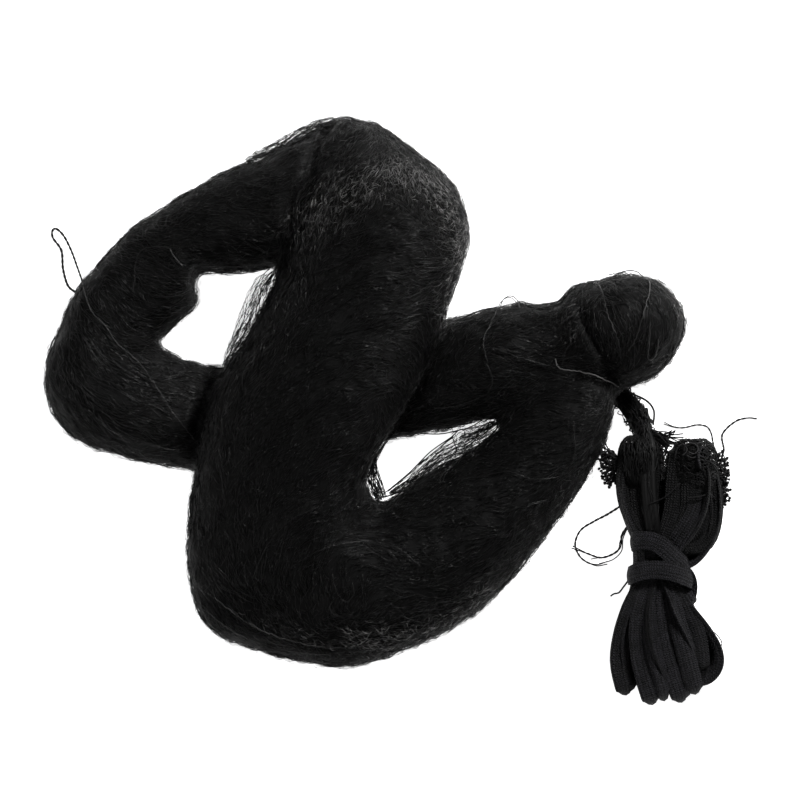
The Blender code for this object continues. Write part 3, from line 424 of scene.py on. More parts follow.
# Shorter ends, under the length that counts as a cord, and strings that stay on the object.
SHORT_ENDS = (
    (0.9, ((98.1, 9.6, 7), (104, 6.6, 5), (110, 3.6, 3), (113, -0.6, 3), (112.6, -6.5, 6))),
    (0.7, ((98.1, 9, 7.5), (103.6, 5.4, 6.5), (109, 0.4, 5), (112, -6, 8))),
    (0.8, ((102, -73, 5), (99.8, -76.2, 2.2), (98.1, -78.4, 0.6), (96, -78.9, 0.5), (94.5, -79.9, 0.5))),
    (0.4, ((133.6, -91.6, 6), (137.2, -94.3, 5.2), (139.8, -96.2, 4), (142, -99.4, 3), (141.6, -101.8, 2.4))),
    (0.5, ((110.4, -40.2, 16.4), (117.2, -37.2, 16.6), (123.6, -31.3, 16.8))),
    (0.5, ((127, -37.7, 17), (132.6, -36.8, 16.6), (136.8, -36, 14), (138.9, -38.8, 11))),
    (0.5, ((136.8, -36, 14), (137.6, -47, 12.6), (135.6, -54.5, 12))),
    (0.5, ((102.2, -49.6, 5.2), (99.9, -55, 1.6), (99.3, -60.4, 0.5), (95.6, -64.2, 0.5), (89.6, -66, 0.5))),
    (0.4, ((101.9, -50, 5), (98.7, -56, 1.6), (97.6, -60.8, 0.5), (92.4, -62.9, 0.5), (86, -64, 0.5))),
    (0.8, ((125.3, -18.1, 15.4), (125.7, -15.5, 15.6), (127.9, -14.3, 15.2), (130.4, -15.1, 15.4),
        (131.3, -17.2, 16.6), (129.6, -18.9, 17.4), (127, -18.1, 17.6))),
    (0.8, ((130.4, -14.7, 15), (133, -14.3, 13.6), (134.7, -16.4, 13.6), (135.1, -19.4, 14), (133.4, -21.1, 14.6))),
    (0.8, ((126.2, -19.4, 17.4), (128.7, -20.6, 17.6), (132.1, -19.8, 16.4), (134.7, -21.5, 14.8),
        (135.6, -25, 14.4))),
    (0.7, ((121.6, -20, 15.2), (122.4, -16.8, 15), (125, -14.8, 14.8), (126.6, -17.4, 16.4), (124.4, -19.8, 17.2))),
    (0.45, ((137, -24, 10), (140.6, -18.4, 8), (143.2, -21, 7), (143, -27, 6), (141, -30, 6))),
)


# --- tools ---


def smooth(rows, steps):
    """The rows read along a Catmull-Rom curve through them, with this many steps from each to the next."""
    rows = np.array(rows, float)
    padded = np.vstack([2 * rows[0] - rows[1], rows, 2 * rows[-1] - rows[-2]])
    read = []
    for before, start, end, after in zip(padded, padded[1:], padded[2:], padded[3:]):
        for t in np.arange(steps) / steps:
            read.append(
                start
                + 0.5 * (end - before) * t
                + (before - 2.5 * start + 2 * end - 0.5 * after) * t**2
                + 0.5 * (3 * start - before - 3 * end + after) * t**3
            )
    return np.array([*read, rows[-1]])


def unit(vectors):
    return vectors / np.maximum(np.linalg.norm(vectors, axis=-1, keepdims=True), 1e-9)


def reach_along(path):
    return np.concatenate([[0], np.cumsum(np.linalg.norm(np.diff(path, axis=0), axis=1))])


def evenly(path, spacing):
    """The path with its points evenly spaced; columns after the third go along with them."""
    reach = reach_along(path[:, :3])
    wanted = np.linspace(0, reach[-1], max(3, round(reach[-1] / spacing) + 1))
    return np.stack([np.interp(wanted, reach, column) for column in path.T], axis=1)


def keep_above(points, height):
    points[..., 2] = np.maximum(points[..., 2], height)


def leftward(ahead):
    """Level ways to the left of these ways."""
    return unit(np.column_stack([-ahead[:, 1], ahead[:, 0], np.zeros(len(ahead))]))


def ways_along(path):
    """The ways ahead, left and up at each point of a path."""
    ahead = unit(np.gradient(path, axis=0))
    left = leftward(ahead)
    return ahead, left, np.cross(ahead, left)


def add_object(name, data):
    item = bpy.data.objects.new(name, data)
    bpy.context.scene.collection.objects.link(item)
    return item


def mark(mesh, name, field, values):
    """Stores a value or a vector at each point, for the material."""
    marks = mesh.attributes.new(name, "FLOAT" if field == "value" else "FLOAT_VECTOR", "POINT")
    marks.data.foreach_set(field, np.asarray(values, np.float32).ravel())


def new_piece(name, points, faces, look, shades, weave=None):
    """A mesh piece from points in millimetres and a list of face arrays, shaded smooth."""
    mesh = bpy.data.meshes.new(name)
    mesh.vertices.add(len(points))
    mesh.vertices.foreach_set("co", (np.asarray(points, np.float32) * MM).ravel())
    corners = np.concatenate([group.ravel() for group in faces])
    sizes = np.concatenate([np.full(len(group), group.shape[1]) for group in faces])
    mesh.loops.add(len(corners))
    mesh.loops.foreach_set("vertex_index", corners.astype(np.int32))
    mesh.polygons.add(len(sizes))
    mesh.polygons.foreach_set("loop_start", (np.cumsum(sizes) - sizes).astype(np.int32))
    mesh.polygons.foreach_set("loop_total", sizes.astype(np.int32))
    mesh.update(calc_edges=True)
    mesh.validate()
    mesh.polygons.foreach_set("use_smooth", np.ones(len(sizes), bool))
    mark(mesh, "tone", "value", shades)
    if weave is not None:
        mark(mesh, "weave", "vector", weave)
    mesh.materials.append(look)
    piece = add_object(name, mesh)
    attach(piece, "root")
    return piece


def rings_round(paths, radii, sides, up):
    """A ring of points round each point of many paths."""
    ahead = unit(np.gradient(paths, axis=1))
    side = unit(np.cross(ahead, up))
    over = np.cross(side, ahead)
    angles = TAU * np.arange(sides) / sides
    ring = side[:, :, None] * np.cos(angles)[:, None] + over[:, :, None] * np.sin(angles)[:, None]
    return paths[:, :, None] + ring * radii[:, :, None, None]


def walls(bases, length, sides):
    """The faces between each ring and the next, where a path's rings start at its base."""
    near = np.arange(sides)
    far = (near + 1) % sides
    start = bases[:, None, None] + (np.arange(length - 1) * sides)[:, None]
    return np.stack([start + near, start + sides + near, start + sides + far, start + far], axis=-1).reshape(-1, 4)


def swept_faces(length, sides, closed=False):
    """The faces of one swept shape: its walls, and its two ends unless it is closed."""
    faces = [walls(np.zeros(1, int), length + closed, sides) % (length * sides)]
    if not closed:
        first = np.arange(sides)[None]
        faces += [first, first[:, ::-1] + (length - 1) * sides]
    return faces


def spindles(paths, radii, sides, up):
    """Closed threads with pointed ends along many paths of the same number of points: points and faces."""
    count, length = paths.shape[:2]
    rings = rings_round(paths, radii[:, None], sides, up)[:, 1:-1].reshape(count, -1, 3)
    points = np.concatenate([paths[:, :1], rings, paths[:, -1:]], axis=1)
    bases = np.arange(count) * points.shape[1]
    tip = bases[:, None] + 0 * np.arange(sides)
    near = tip + 1 + np.arange(sides)
    far = tip + 1 + (np.arange(sides) + 1) % sides
    last = (length - 3) * sides
    ends = np.stack([[tip, near, far], [near + last, tip + 1 + last + sides, far + last]]).transpose(0, 2, 3, 1)
    return points.reshape(-1, 3), [walls(bases + 1, length - 2, sides), ends.reshape(-1, 3)]


class Bundle:
    """Closed shapes gathered for one piece."""

    def __init__(self):
        self.points, self.faces, self.shades, self.weave, self.size = [], {}, [], [], 0

    def add(self, points, faces, shades, weave=None):
        for group in faces:
            self.faces.setdefault(group.shape[1], []).append(group + self.size)
        self.points.append(points)
        self.shades.append(np.broadcast_to(shades, (len(points),)))
        self.weave.append(weave)
        self.size += len(points)

    def tube(self, path, diameter, sides, shade, taper=1):
        """A round thread along the path, with its frame carried along so that it never twists over."""
        path = np.asarray(path, float)
        radii = np.linspace(1, taper, len(path)) * diameter / 2
        ahead = unit(np.gradient(path, axis=0))
        over = np.cross(ahead[0], (0.3, 0.9, 0.2))
        ups = []
        for way in ahead:
            over = over - way * over.dot(way)
            over = over / max(np.linalg.norm(over), 1e-9)
            ups.append(over)
        points = rings_round(path[None], radii[None], sides, np.array(ups)[None]).reshape(-1, 3)
        self.add(points, swept_faces(len(path), sides), shade)

    def knot(self, place, diameter, draw, shade):
        """A small uneven knot: an icosahedron."""
        size = diameter / 2 * draw.uniform(0.85, 1.15, 3)
        turn = draw.uniform(0, TAU)
        cos, sin = math.cos(turn), math.sin(turn)
        points = ICO_POINTS * size @ np.array([[cos, sin, 0], [-sin, cos, 0], [0, 0, 1]]) + place
        keep_above(points, FLOOR_GAP)
        self.add(points, [ICO_FACES], shade)

    def piece(self, name, look, slot):
        groups = [np.concatenate(group) for group in self.faces.values()]
        weave = None if self.weave[0] is None else np.concatenate(self.weave)
        return new_piece(
            name, np.concatenate(self.points), groups, look, np.concatenate(self.shades), weave
        )


def icosahedron():
    golden = (1 + math.sqrt(5)) / 2
    rows = []
    for a in (-1, 1):
        for b in (-golden, golden):
            rows += [(0, a, b), (a, b, 0), (b, 0, a)]
    points = unit(np.array(rows, float))
    faces = []
    for i in range(12):
        for j in range(i + 1, 12):
            for k in range(j + 1, 12):
                gaps = [points[i] - points[j], points[j] - points[k], points[k] - points[i]]
                if max(np.linalg.norm(gap) for gap in gaps) < 1.1:
                    outward = np.cross(points[j] - points[i], points[k] - points[i]).dot(points[i]) > 0
                    faces.append((i, j, k) if outward else (i, k, j))
    return points, np.array(faces)


ICO_POINTS, ICO_FACES = icosahedron()


# --- materials ---


class Look:
    """A procedural material under construction."""

    def __init__(self, name, roughness, specular):
        self.material = bpy.data.materials.new(name)
        self.material.use_nodes = True
        self.tree = self.material.node_tree
        self.shader = self.tree.nodes["Principled BSDF"]
        self.shader.inputs["Roughness"].default_value = roughness
        self.shader.inputs["Specular IOR Level"].default_value = specular
        self.place = self.node("TexCoord").outputs["Object"]

    def node(self, kind, inputs=None, operation=None):
        """A new node; each input is given a value or linked to another node's output."""
        node = self.tree.nodes.new("ShaderNode" + kind)
        if operation:
            node.operation = operation
        for key, value in (inputs or {}).items():
            if isinstance(value, bpy.types.NodeSocket):
                self.tree.links.new(value, node.inputs[key])
            else:
                node.inputs[key].default_value = value
        return node

    def math(self, operation, *values):
        return self.node("Math", dict(enumerate(values)), operation).outputs["Value"]

    def vector(self, operation, *values):
        node = self.node("VectorMath", dict(enumerate(values)), operation)
        return node.outputs["Value" if operation == "DOT_PRODUCT" else "Vector"]

    def combine(self, *values):
        return self.node("CombineXYZ", dict(enumerate(values))).outputs["Vector"]

    def attribute(self, name, output):
        node = self.node("Attribute")
        node.attribute_name = name
        return node.outputs[output]

    def parts(self, vector):
        return self.node("SeparateXYZ", {"Vector": vector}).outputs

    def noise(self, vector, scale, detail=2, roughness=0.5):
        inputs = {"Scale": scale, "Detail": detail, "Roughness": roughness, "Vector": vector}
        return self.node("TexNoise", inputs).outputs["Fac"]

    def colour(self, value, stops):
        node = self.node("ValToRGB", {"Fac": value})
        while len(node.color_ramp.elements) < len(stops):
            node.color_ramp.elements.new(0.5)
        for element, (place, colour) in zip(node.color_ramp.elements, stops):
            element.position = place
            element.color = (*colour, 1)
        self.tree.links.new(node.outputs["Color"], self.shader.inputs["Base Color"])

    def bump(self, height, strength, distance):
        node = self.node("Bump", {"Strength": strength, "Distance": distance * MM, "Height": height})
        self.tree.links.new(node.outputs["Normal"], self.shader.inputs["Normal"])


# Looks of thread: its dark, middle and light colours, its roughness and its specular level.
TWINE_LOOK = ((0.0015, 0.0015, 0.0015), (0.006, 0.0057, 0.006), (0.014, 0.0135, 0.014), 0.55, 0.2)
# The net's light colour is reached mostly where sheen is painted in, as painted highlight.
NET_LOOK = ((0.0005, 0.0005, 0.0005), (0.005, 0.0048, 0.0046), (0.38, 0.373, 0.367), 0.36, 0.45)
THREAD_GRAIN = 2600  # noise scale


def thread_look(name, dark, middle, light, roughness, specular):
    """Nylon thread: each thread a little lighter or darker than the next, with fine bumps along it.
    On the net, its tone also carries painted sheen and painted shade.
    """
    look = Look(name, roughness, specular)
    look.colour(look.attribute("tone", "Fac"), [(0, dark), (0.5, middle), (1, light)])
    look.bump(look.noise(look.place, THREAD_GRAIN), 0.25, 0.1)
    return look.material


FIBRE_WIDTH = 0.3
FIBRE_LENGTH = 3
FIBRE_PATCHES = (3.1, 4.3)  # in millimetres; within a patch, the fibres lie the same way
CORE_PATCH_SCALE = 110
CORE_COLOURS = [(0.2, (0.0004, 0.0004, 0.0004)), (0.5, (0.0040, 0.0038, 0.0038))]


def core_look():
    """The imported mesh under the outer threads: near black, with fine fibres that follow the flow."""
    look = Look("net_core", 0.6, 0.15)
    doubled = look.parts(look.attribute("flow", "Vector"))
    heading = look.math("MULTIPLY", look.math("ARCTAN2", doubled["Y"], doubled["X"]), 0.5)
    level = look.combine(look.math("COSINE", heading), look.math("SINE", heading), 0)
    normal = look.node("TexCoord").outputs["Normal"]
    across = look.vector("NORMALIZE", look.vector("CROSS_PRODUCT", normal, level))
    along = look.vector("CROSS_PRODUCT", across, normal)
    layers = []
    for patch in FIBRE_PATCHES:
        cells = look.node("TexVoronoi", {"Scale": 1 / (patch * MM), "Vector": look.place}).outputs
        local = look.vector("SUBTRACT", look.place, cells["Position"])
        run = look.math("MULTIPLY", look.vector("DOT_PRODUCT", local, along), 1 / (FIBRE_LENGTH * MM))
        row = look.math("MULTIPLY", look.vector("DOT_PRODUCT", local, across), 1 / (FIBRE_WIDTH * MM))
        tint = look.parts(cells["Color"])
        spread = look.combine(run, row, look.math("MULTIPLY", tint["X"], 57))
        layers.append(look.noise(spread, 1, 1, 0.5))
    fibres = look.math("MAXIMUM", *layers)
    look.colour(look.math("MULTIPLY", fibres, look.noise(look.place, CORE_PATCH_SCALE, 3, 0.6)), CORE_COLOURS)
    look.bump(fibres, 0.8, 0.35)
    return look.material


KNIT_COLUMN = 1.25
KNIT_STITCH = 1.05
KNIT_RIB = 1.9
KNIT_WOBBLE = 1.3  # how far its stitches are out of line, in millimetres
WOBBLE_SCALE, YARN_SCALE, PATCH_SCALE = 620, 1400, 160
TONE_OFFSET = 0.13
TAPE_COLOURS = [(0.14, (0.0003, 0.0003, 0.0005)), (0.66, (0.019, 0.0182, 0.0222))]


def tape_look():
    """Knitted tape: ribs along it, columns of V stitches, and slightly blue black yarn.
    The colour follows the height of the knit, so its hollows are painted shade.
    """
    look = Look("tape_knit", 0.7, 0.25)
    op = look.math
    weave = look.parts(look.attribute("weave", "Vector"))
    wobble = op("MULTIPLY", look.noise(look.place, WOBBLE_SCALE, 3, 0.65), KNIT_WOBBLE)
    across = op("ADD", weave["X"], wobble)
    column = op("FRACT", op("DIVIDE", across, KNIT_COLUMN))
    lean = op("ABSOLUTE", op("SUBTRACT", column, 0.5))
    stitch = op("ADD", op("DIVIDE", op("ADD", weave["Y"], wobble), KNIT_STITCH), lean)
    ripple = op("ABSOLUTE", op("SINE", op("MULTIPLY", stitch, math.pi)))
    furrow = op("SUBTRACT", 1, op("POWER", op("MULTIPLY", lean, 2), 3))
    rib = op("ABSOLUTE", op("COSINE", op("MULTIPLY", across, math.pi / KNIT_RIB)))
    yarn = look.noise(look.place, YARN_SCALE, 3, 0.7)
    patches = look.noise(look.place, PATCH_SCALE, 2, 0.6)
    knit = op("MULTIPLY", op("MULTIPLY", ripple, furrow), op("ADD", yarn, 0.4))
    height = op("ADD", op("MULTIPLY", knit, 0.75), op("MULTIPLY", rib, 0.25))
    tone = op("MULTIPLY", op("ADD", look.attribute("tone", "Fac"), TONE_OFFSET), patches)
    # The colour follows the knit's height: the hollows between stitches and ribs are painted shade.
    look.colour(op("MULTIPLY", op("MULTIPLY", height, tone), 2), TAPE_COLOURS)
    look.bump(height, 1, 0.8)
    return look.material


# --- making the gathered net ---


def nearness(places, line):
    """How near each place is to the line, seen from above: 1 on it, less over its width."""
    places, route = places[:, :2], smooth(line.route, 12)
    apart = np.full(len(places), np.inf)
    for start, end in zip(route, route[1:]):
        span = end - start
        share = np.clip(((places - start) @ span) / max(span @ span, 1e-9), 0, 1)
        apart = np.minimum(apart, np.linalg.norm(places - start - share[:, None] * span, axis=1))
    return np.exp(-((apart / line.width) ** 2))


def triples(items, field, kind=np.float32):
    """Three values of each item of a mesh."""
    values = np.empty(len(items) * 3, kind)
    items.foreach_get(field, values)
    return values.reshape(-1, 3)


def evened(core):
    """The object's mesh replaced by one with small, even faces and rounded edges."""
    remesh = core.modifiers.new("Remesh", "REMESH")
    remesh.mode = "VOXEL"
    remesh.voxel_size = CORE_VOXEL * MM
    soften = core.modifiers.new("Soften", "SMOOTH")
    soften.iterations = CORE_SMOOTHING
    soften.factor = 0.5
    even = bpy.data.meshes.new_from_object(core.evaluated_get(bpy.context.evaluated_depsgraph_get()))
    core.modifiers.clear()
    core.data = even
    even.name = core.name
    even.materials.clear()
    return even


def net_core():
    """The net's solid with an even, rounded surface and its creases, a little inside the outer threads."""
    core = add_object("net_core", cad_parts["net_hank"].data.copy())
    even = evened(core)
    normals = triples(even.vertices, "normal")
    places = triples(even.vertices, "co") / MM
    lumps = [blender_noise.fractal(Vector(place) / CORE_LUMP_SIZE, 0.8, 2, 3) for place in places.tolist()]
    places = places + normals * (np.array(lumps)[:, None] * CORE_LUMP - CORE_INSET)
    for crease in CREASES:
        places[:, 2] -= crease.amount * nearness(places, crease) * np.clip(normals[:, 2] * 2, 0, 1)
    level = normals * (1, 1, 0)
    for swell in SWELLS:
        places = places + level * (nearness(places, swell) * swell.amount)[:, None]
    keep_above(places, CORE_LOWEST)
    even.vertices.foreach_set("co", (places * MM).astype(np.float32).ravel())
    even.update()
    even.shade_smooth()
    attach(core, "root")
    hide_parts("net_hank")
    return core


class Surface:
    """The core's skin: where to start threads on it, and how to walk over it."""

    def __init__(self, mesh):
        mesh.calc_loop_triangles()
        self.places = triples(mesh.vertices, "co").astype(float) / MM
        self.corners = triples(mesh.loop_triangles, "vertices", np.int32)
        self.tree = BVHTree.FromPolygons(self.places.tolist(), self.corners.tolist())
        a, b, c = (self.places[self.corners[:, k]] for k in range(3))
        across = np.cross(b - a, c - a)
        self.areas = np.linalg.norm(across, axis=1) / 2
        self.normals = unit(across)

    def starts(self, layer, count, draw):
        """Places spread by area, with fewer on the underside, or only on the sides or where sheen is painted in."""
        steep = self.normals[:, 2]
        weights = self.areas * np.where(steep < -0.5, layer.underside, 1)
        if layer.where == "edge":
            weights = self.areas * np.clip(1 - np.abs(steep), 0, 1) * (steep > -0.6)
        if layer.where == "sheen":
            lit = np.clip(painted_sheen_at(self.places[self.corners[:, 0]]), 0, 1)
            weights = self.areas * lit * np.clip(steep, 0, 1)
        chosen = draw.choice(len(weights), size=count, p=weights / weights.sum())
        shares = draw.dirichlet((1, 1, 1), size=count)
        return np.einsum("nk,nkd->nd", shares, self.places[self.corners[chosen]])

    def settle(self, places):
        """Each place moved to the nearest one on the skin, and the normal there."""
        found = [self.tree.find_nearest(place) for place in places.tolist()]
        return (np.array([hit[k] for hit in found], float) for k in (0, 1))

    def top(self, x, y):
        """The height of the skin, seen from above, or 0 beside it."""
        hit = self.tree.ray_cast((x, y, 200), (0, 0, -1))[0]
        return hit.z if hit is not None else 0


class Flow:
    """The ways of the threads, from the listed ones on top of the net."""

    def __init__(self, surface):
        rows = np.array(FLOW, float)
        self.places = np.column_stack([rows[:, :2], [surface.top(x, y) for x, y in rows[:, :2]]])
        doubled = 2 * np.radians(rows[:, 2])
        self.ways = np.column_stack([np.cos(doubled), np.sin(doubled)])

    def doubled(self, places):
        """The cosine and sine of twice the heading, since a thread has no front or back."""
        apart = ((places[:, None, :] - self.places[None]) ** 2).sum(axis=2)
        return unit((1 / (apart + FLOW_REACH**2) ** 2) @ self.ways)

    def laid_on(self, places, normals, stray):
        """The flow at the places, turned by the stray and laid along the skin."""
        way = self.doubled(places)
        headings = 0.5 * np.arctan2(way[:, 1], way[:, 0]) + stray
        level = np.column_stack([np.cos(headings), np.sin(headings), np.zeros(len(headings))])
        return unit(level - normals * (level * normals).sum(axis=1, keepdims=True))


def in_locks(layer, draw, spread):
    """A value for each thread, most of it shared with the other threads of its lock."""
    shared = np.repeat(draw.normal(0, spread, layer.threads // layer.lock), layer.lock)
    if layer.lock == 1:
        return shared
    return shared * LOCK_SHARED + draw.normal(0, spread, layer.threads) * (1 - LOCK_SHARED)


def walk(surface, flow, layer, draw):
    """Threads of one layer, as paths on the skin, with the normal at each point."""
    locks = layer.threads // layer.lock
    spots = np.repeat(surface.starts(layer, locks, draw), layer.lock, axis=0)
    if layer.lock > 1:
        spots = spots + draw.normal(0, LOCK_SPREAD, spots.shape)
    spots, normals = surface.settle(spots)
    stray = np.radians(in_locks(layer, draw, layer.stray))
    curve, wave, phase = (in_locks(layer, draw, spread) for spread in (layer.curve, layer.wave, 2))
    pitch = draw.uniform(0.9, 1.9, layer.threads)
    way = flow.laid_on(spots, normals, stray)
    way *= np.repeat(draw.choice([-1, 1], locks), layer.lock)[:, None]
    paths, skins = [spots], [normals]
    for k in range(1, layer.points):
        ahead = flow.laid_on(spots, normals, stray)
        ahead *= np.sign((ahead * way).sum(axis=1, keepdims=True) + 1e-9)
        turn = (curve * layer.step * k + wave * np.sin(phase + pitch * k))[:, None]
        way = unit(ahead * np.cos(turn) + np.cross(normals, ahead) * np.sin(turn))
        spots, normals = surface.settle(spots + way * layer.step)
        paths.append(spots)
        skins.append(normals)
    return np.stack(paths, axis=1), np.stack(skins, axis=1)


def painted_sheen_at(places):
    """The painted sheen at each place, from 0 to 1, or down to -1 where shade is painted in."""
    light, painted_shade = np.zeros(len(places)), np.zeros(len(places))
    for sheen in PAINTED_SHEENS:
        near = nearness(places, sheen) * sheen.amount
        light, painted_shade = np.maximum(light, near), np.minimum(painted_shade, near)
    return light + painted_shade


def net_layer(name, layer, surface, flow, look):
    draw = np.random.default_rng(layer.seed)
    paths, skins = walk(surface, flow, layer, draw)
    share = np.linspace(0, 1, layer.points)
    rest = draw.uniform(layer.low, layer.high, layer.threads)
    stands = np.abs(draw.normal(0, layer.bulge, layer.threads))
    height = rest[:, None] + stands[:, None] * np.sin(math.pi * share)[None]
    sunk = draw.uniform(0, THREAD_SUNK, (layer.threads, 2))
    height = height - sunk[:, :1] * (1 - share) ** 2 - sunk[:, 1:] * share**2
    paths = paths + skins * height[:, :, None]
    keep_above(paths, THREADS_LOWEST)
    radii = draw.uniform(0.8, 1.2, layer.threads) * layer.diameter / 2
    points, faces = spindles(paths, radii, THREAD_SIDES, skins)
    plain = 0.5 * draw.uniform(0, 1, layer.threads) ** 2
    # plain is a random tone; lit is the painted sheen, or painted shade where it is under 0
    lit = painted_sheen_at(paths[:, layer.points // 2]) * layer.sheen * draw.uniform(0.1, 1, layer.threads) ** 2
    shades = np.repeat(np.clip(plain + lit, 0, 1), len(points) // layer.threads)
    new_piece(name, points, faces, look, shades)


def on_veil(near, far, along, between):
    """The point of a veil at this share along its rails and from the near one to the far one."""
    share = np.linspace(0, 1, len(near))
    low, high = (np.array([np.interp(along, share, column) for column in rail.T]) for rail in (near, far))
    return low + (high - low) * between


def veil_threads(veil, near, far, draw):
    """Threads that run along a veil, most of them near its first rail."""
    paths = []
    for _ in range(veil.threads):
        start, end = np.sort(draw.uniform(-0.1, 1.1, 2))
        start = min(start, 0.7)
        if end - start < 0.25:
            end = start + 0.4
        drift, phase = draw.normal(0, 0.22), draw.uniform(0, TAU)
        run = np.linspace(max(start, 0), min(end, 1), VEIL_POINTS)
        between = draw.uniform(0, 1) ** 1.3 + drift * (run - 0.5) + 0.10 * np.sin(phase + 9 * run)
        paths.append([on_veil(near, far, *place) for place in zip(run, np.clip(between, -0.25, 1.05))])
    return np.array(paths) + draw.normal(0, VEIL_JITTER, (veil.threads, VEIL_POINTS, 3))


def veil_links(veil, near, far, draw):
    """Short threads that link the long ones."""
    paths = []
    for _ in range(veil.links):
        low = draw.uniform(-0.2, 0.9) * draw.uniform(0.4, 1)
        between = low + draw.uniform(0.1, 0.35) * np.arange(4) / 3
        places = draw.uniform(0, 1) + 0.03 * np.arange(4) * draw.normal(0, 1, 4)
        paths.append([on_veil(near, far, *place) for place in zip(places, between)])
    return np.array(paths) + draw.normal(0, LINK_JITTER, (veil.links, 4, 3))


def net_veils(look):
    """Open net beside the holes: threads between two rails, with short ones that link them."""
    bundle = Bundle()
    for veil in VEILS:
        draw = np.random.default_rng(veil.seed)
        near = evenly(smooth(veil.near_rail, 6), 1.6)
        far_path = smooth(veil.far_rail, 6)
        far_reach = reach_along(far_path) / reach_along(far_path)[-1]
        share = np.linspace(0, 1, len(near))
        far = np.stack([np.interp(share, far_reach, column) for column in far_path.T], axis=1)
        for paths in (veil_threads(veil, near, far, draw), veil_links(veil, near, far, draw)):
            radii = veil.diameter / 2 * draw.uniform(0.8, 1.3, len(paths))
            points, faces = spindles(paths, radii, THREAD_SIDES, np.array([0.1, 0.2, 1]))
            bundle.add(points, faces, VEIL_SHADE)
    for diameter, route in AIR_THREADS:
        bundle.tube(evenly(smooth(route, 8), 0.8), diameter, 6, VEIL_SHADE)
    bundle.piece("net_veils", look, "net_nylon")


def lying_threads(surface, look):
    """Single threads on top of the net: each follows the skin, and bridges its hollows."""
    bundle = Bundle()
    draw = np.random.default_rng(LYING_SEED)
    for diameter, shade, route in LYING_THREADS:
        line = evenly(smooth(route, 8), 1)
        line = line + draw.normal(0, LYING_JITTER, line.shape)
        wide = np.pad([surface.top(x, y) for x, y in line], 2, mode="edge")
        heights = np.array([wide[k : k + 5].max() * 0.5 + wide[k : k + 5].mean() * 0.5 for k in range(len(line))])
        path = np.column_stack([line, heights + LYING_LIFT + diameter / 2])
        bundle.tube(smooth(path, 2), diameter, 6, shade)
    bundle.piece("net_lying_threads", look, "net_nylon")


# --- making the tape hank ---


def tape_profile(chord, width):
    """A tape's cross-section, crowned so that it spans the chord: points across and up, and the places across."""
    half = width / 2
    bend = 0.25
    while half * math.sin(bend) / bend > chord / 2 and bend < 2.6:
        bend += 0.02
    radius = half / bend
    outer, inner, across = [], [], []
    for share in TAPE_ACROSS:
        angle = share * bend
        rim = TAPE_RIM * math.exp(-(((abs(share) - RIM_PLACE) / RIM_WIDTH) ** 2))
        thick = (TAPE_THICKNESS + rim) / 2 * (0.35 if abs(share) == 1 else 1)
        middle = np.array([radius * math.sin(angle), radius * (math.cos(angle) - 1)])
        out = np.array([math.sin(angle), math.cos(angle)])
        outer.append(middle + out * thick)
        inner.append(middle - out * thick)
        across.append(share * half)
    return np.array(outer + inner[::-1]), np.array(across + across[::-1])


def sweep_tape(bundle, path, sides, profile, across, shade, closed=False):
    """Sweeps cross-sections, one for each point or the same for all, along the path. A side points across it."""
    ahead = unit(np.gradient(path, axis=0))
    if closed:
        ahead = unit(np.roll(path, -1, axis=0) - np.roll(path, 1, axis=0))
    sides = unit(sides - ahead * (sides * ahead).sum(axis=1, keepdims=True))
    ups = np.cross(ahead, sides)
    rings = path[:, None, :] + sides[:, None, :] * profile[:, :, :1] + ups[:, None, :] * profile[:, :, 1:]
    keep_above(rings, FLOOR_GAP)
    count, around = rings.shape[:2]
    weave = np.zeros((count, around, 3))
    weave[:, :, 0] = across
    weave[:, :, 1] = reach_along(path)[:, None]
    high = np.clip((rings[:, :, 1].ravel() - TAPE_DARK_FROM) / TAPE_DARK_OVER, 0, 1)
    shades = shade - TAPE_DARKENS * high
    bundle.add(rings.reshape(-1, 3), swept_faces(count, around, closed), shades, weave.reshape(-1, 3))


def fold_line(fold, inset):
    """A fold's line seen from above, the share of its way at each station, and how its end rounds off."""
    through = math.copysign(FOLD_THROUGH, fold.root_y - fold.end_y)
    route = np.array([(fold.root_x, fold.root_y + through), *zip(fold[:8:2], fold[1:8:2])])
    line = smooth(route, FOLD_STEPS)
    reach = reach_along(line)
    length = reach[-1] - inset * 0.9
    turn = np.linspace(0, math.pi / 2, FOLD_TURN_STATIONS)[1:]
    straight = np.linspace(0, length - FOLD_END_LENGTH, FOLD_STATIONS)
    stations = np.concatenate([straight, length - FOLD_END_LENGTH * (1 - np.sin(turn))])
    round_end = np.concatenate([np.ones(FOLD_STATIONS), np.cos(turn)])
    line = np.stack([np.interp(stations, reach, column) for column in line.T], axis=1)
    return line, np.clip((stations - FOLD_THROUGH) / (length - FOLD_THROUGH), 0, 1), round_end


def fold_heights(fold, inset, opened):
    """How low and how high a fold runs, from inside the ties to where it has its own size."""
    off = (fold.root_x - TIE_TURNS[0].x) / TIE_INSIDE_ACROSS
    root_half = min(FOLD_ROOT_SHARE / 2 * fold.height, TIE_INSIDE_UP * math.sqrt(max(0.1, 1 - off**2)))
    root_low, root_high = FOLD_ROOT_MIDDLE - root_half, FOLD_ROOT_MIDDLE + root_half
    low = root_low * (1 - opened) + FOLD_LOWEST * opened + inset * 0.5
    high = root_high * (1 - opened) + (fold.height - 0.6) * opened - inset
    return low, np.maximum(high, low + FOLD_THINNEST)


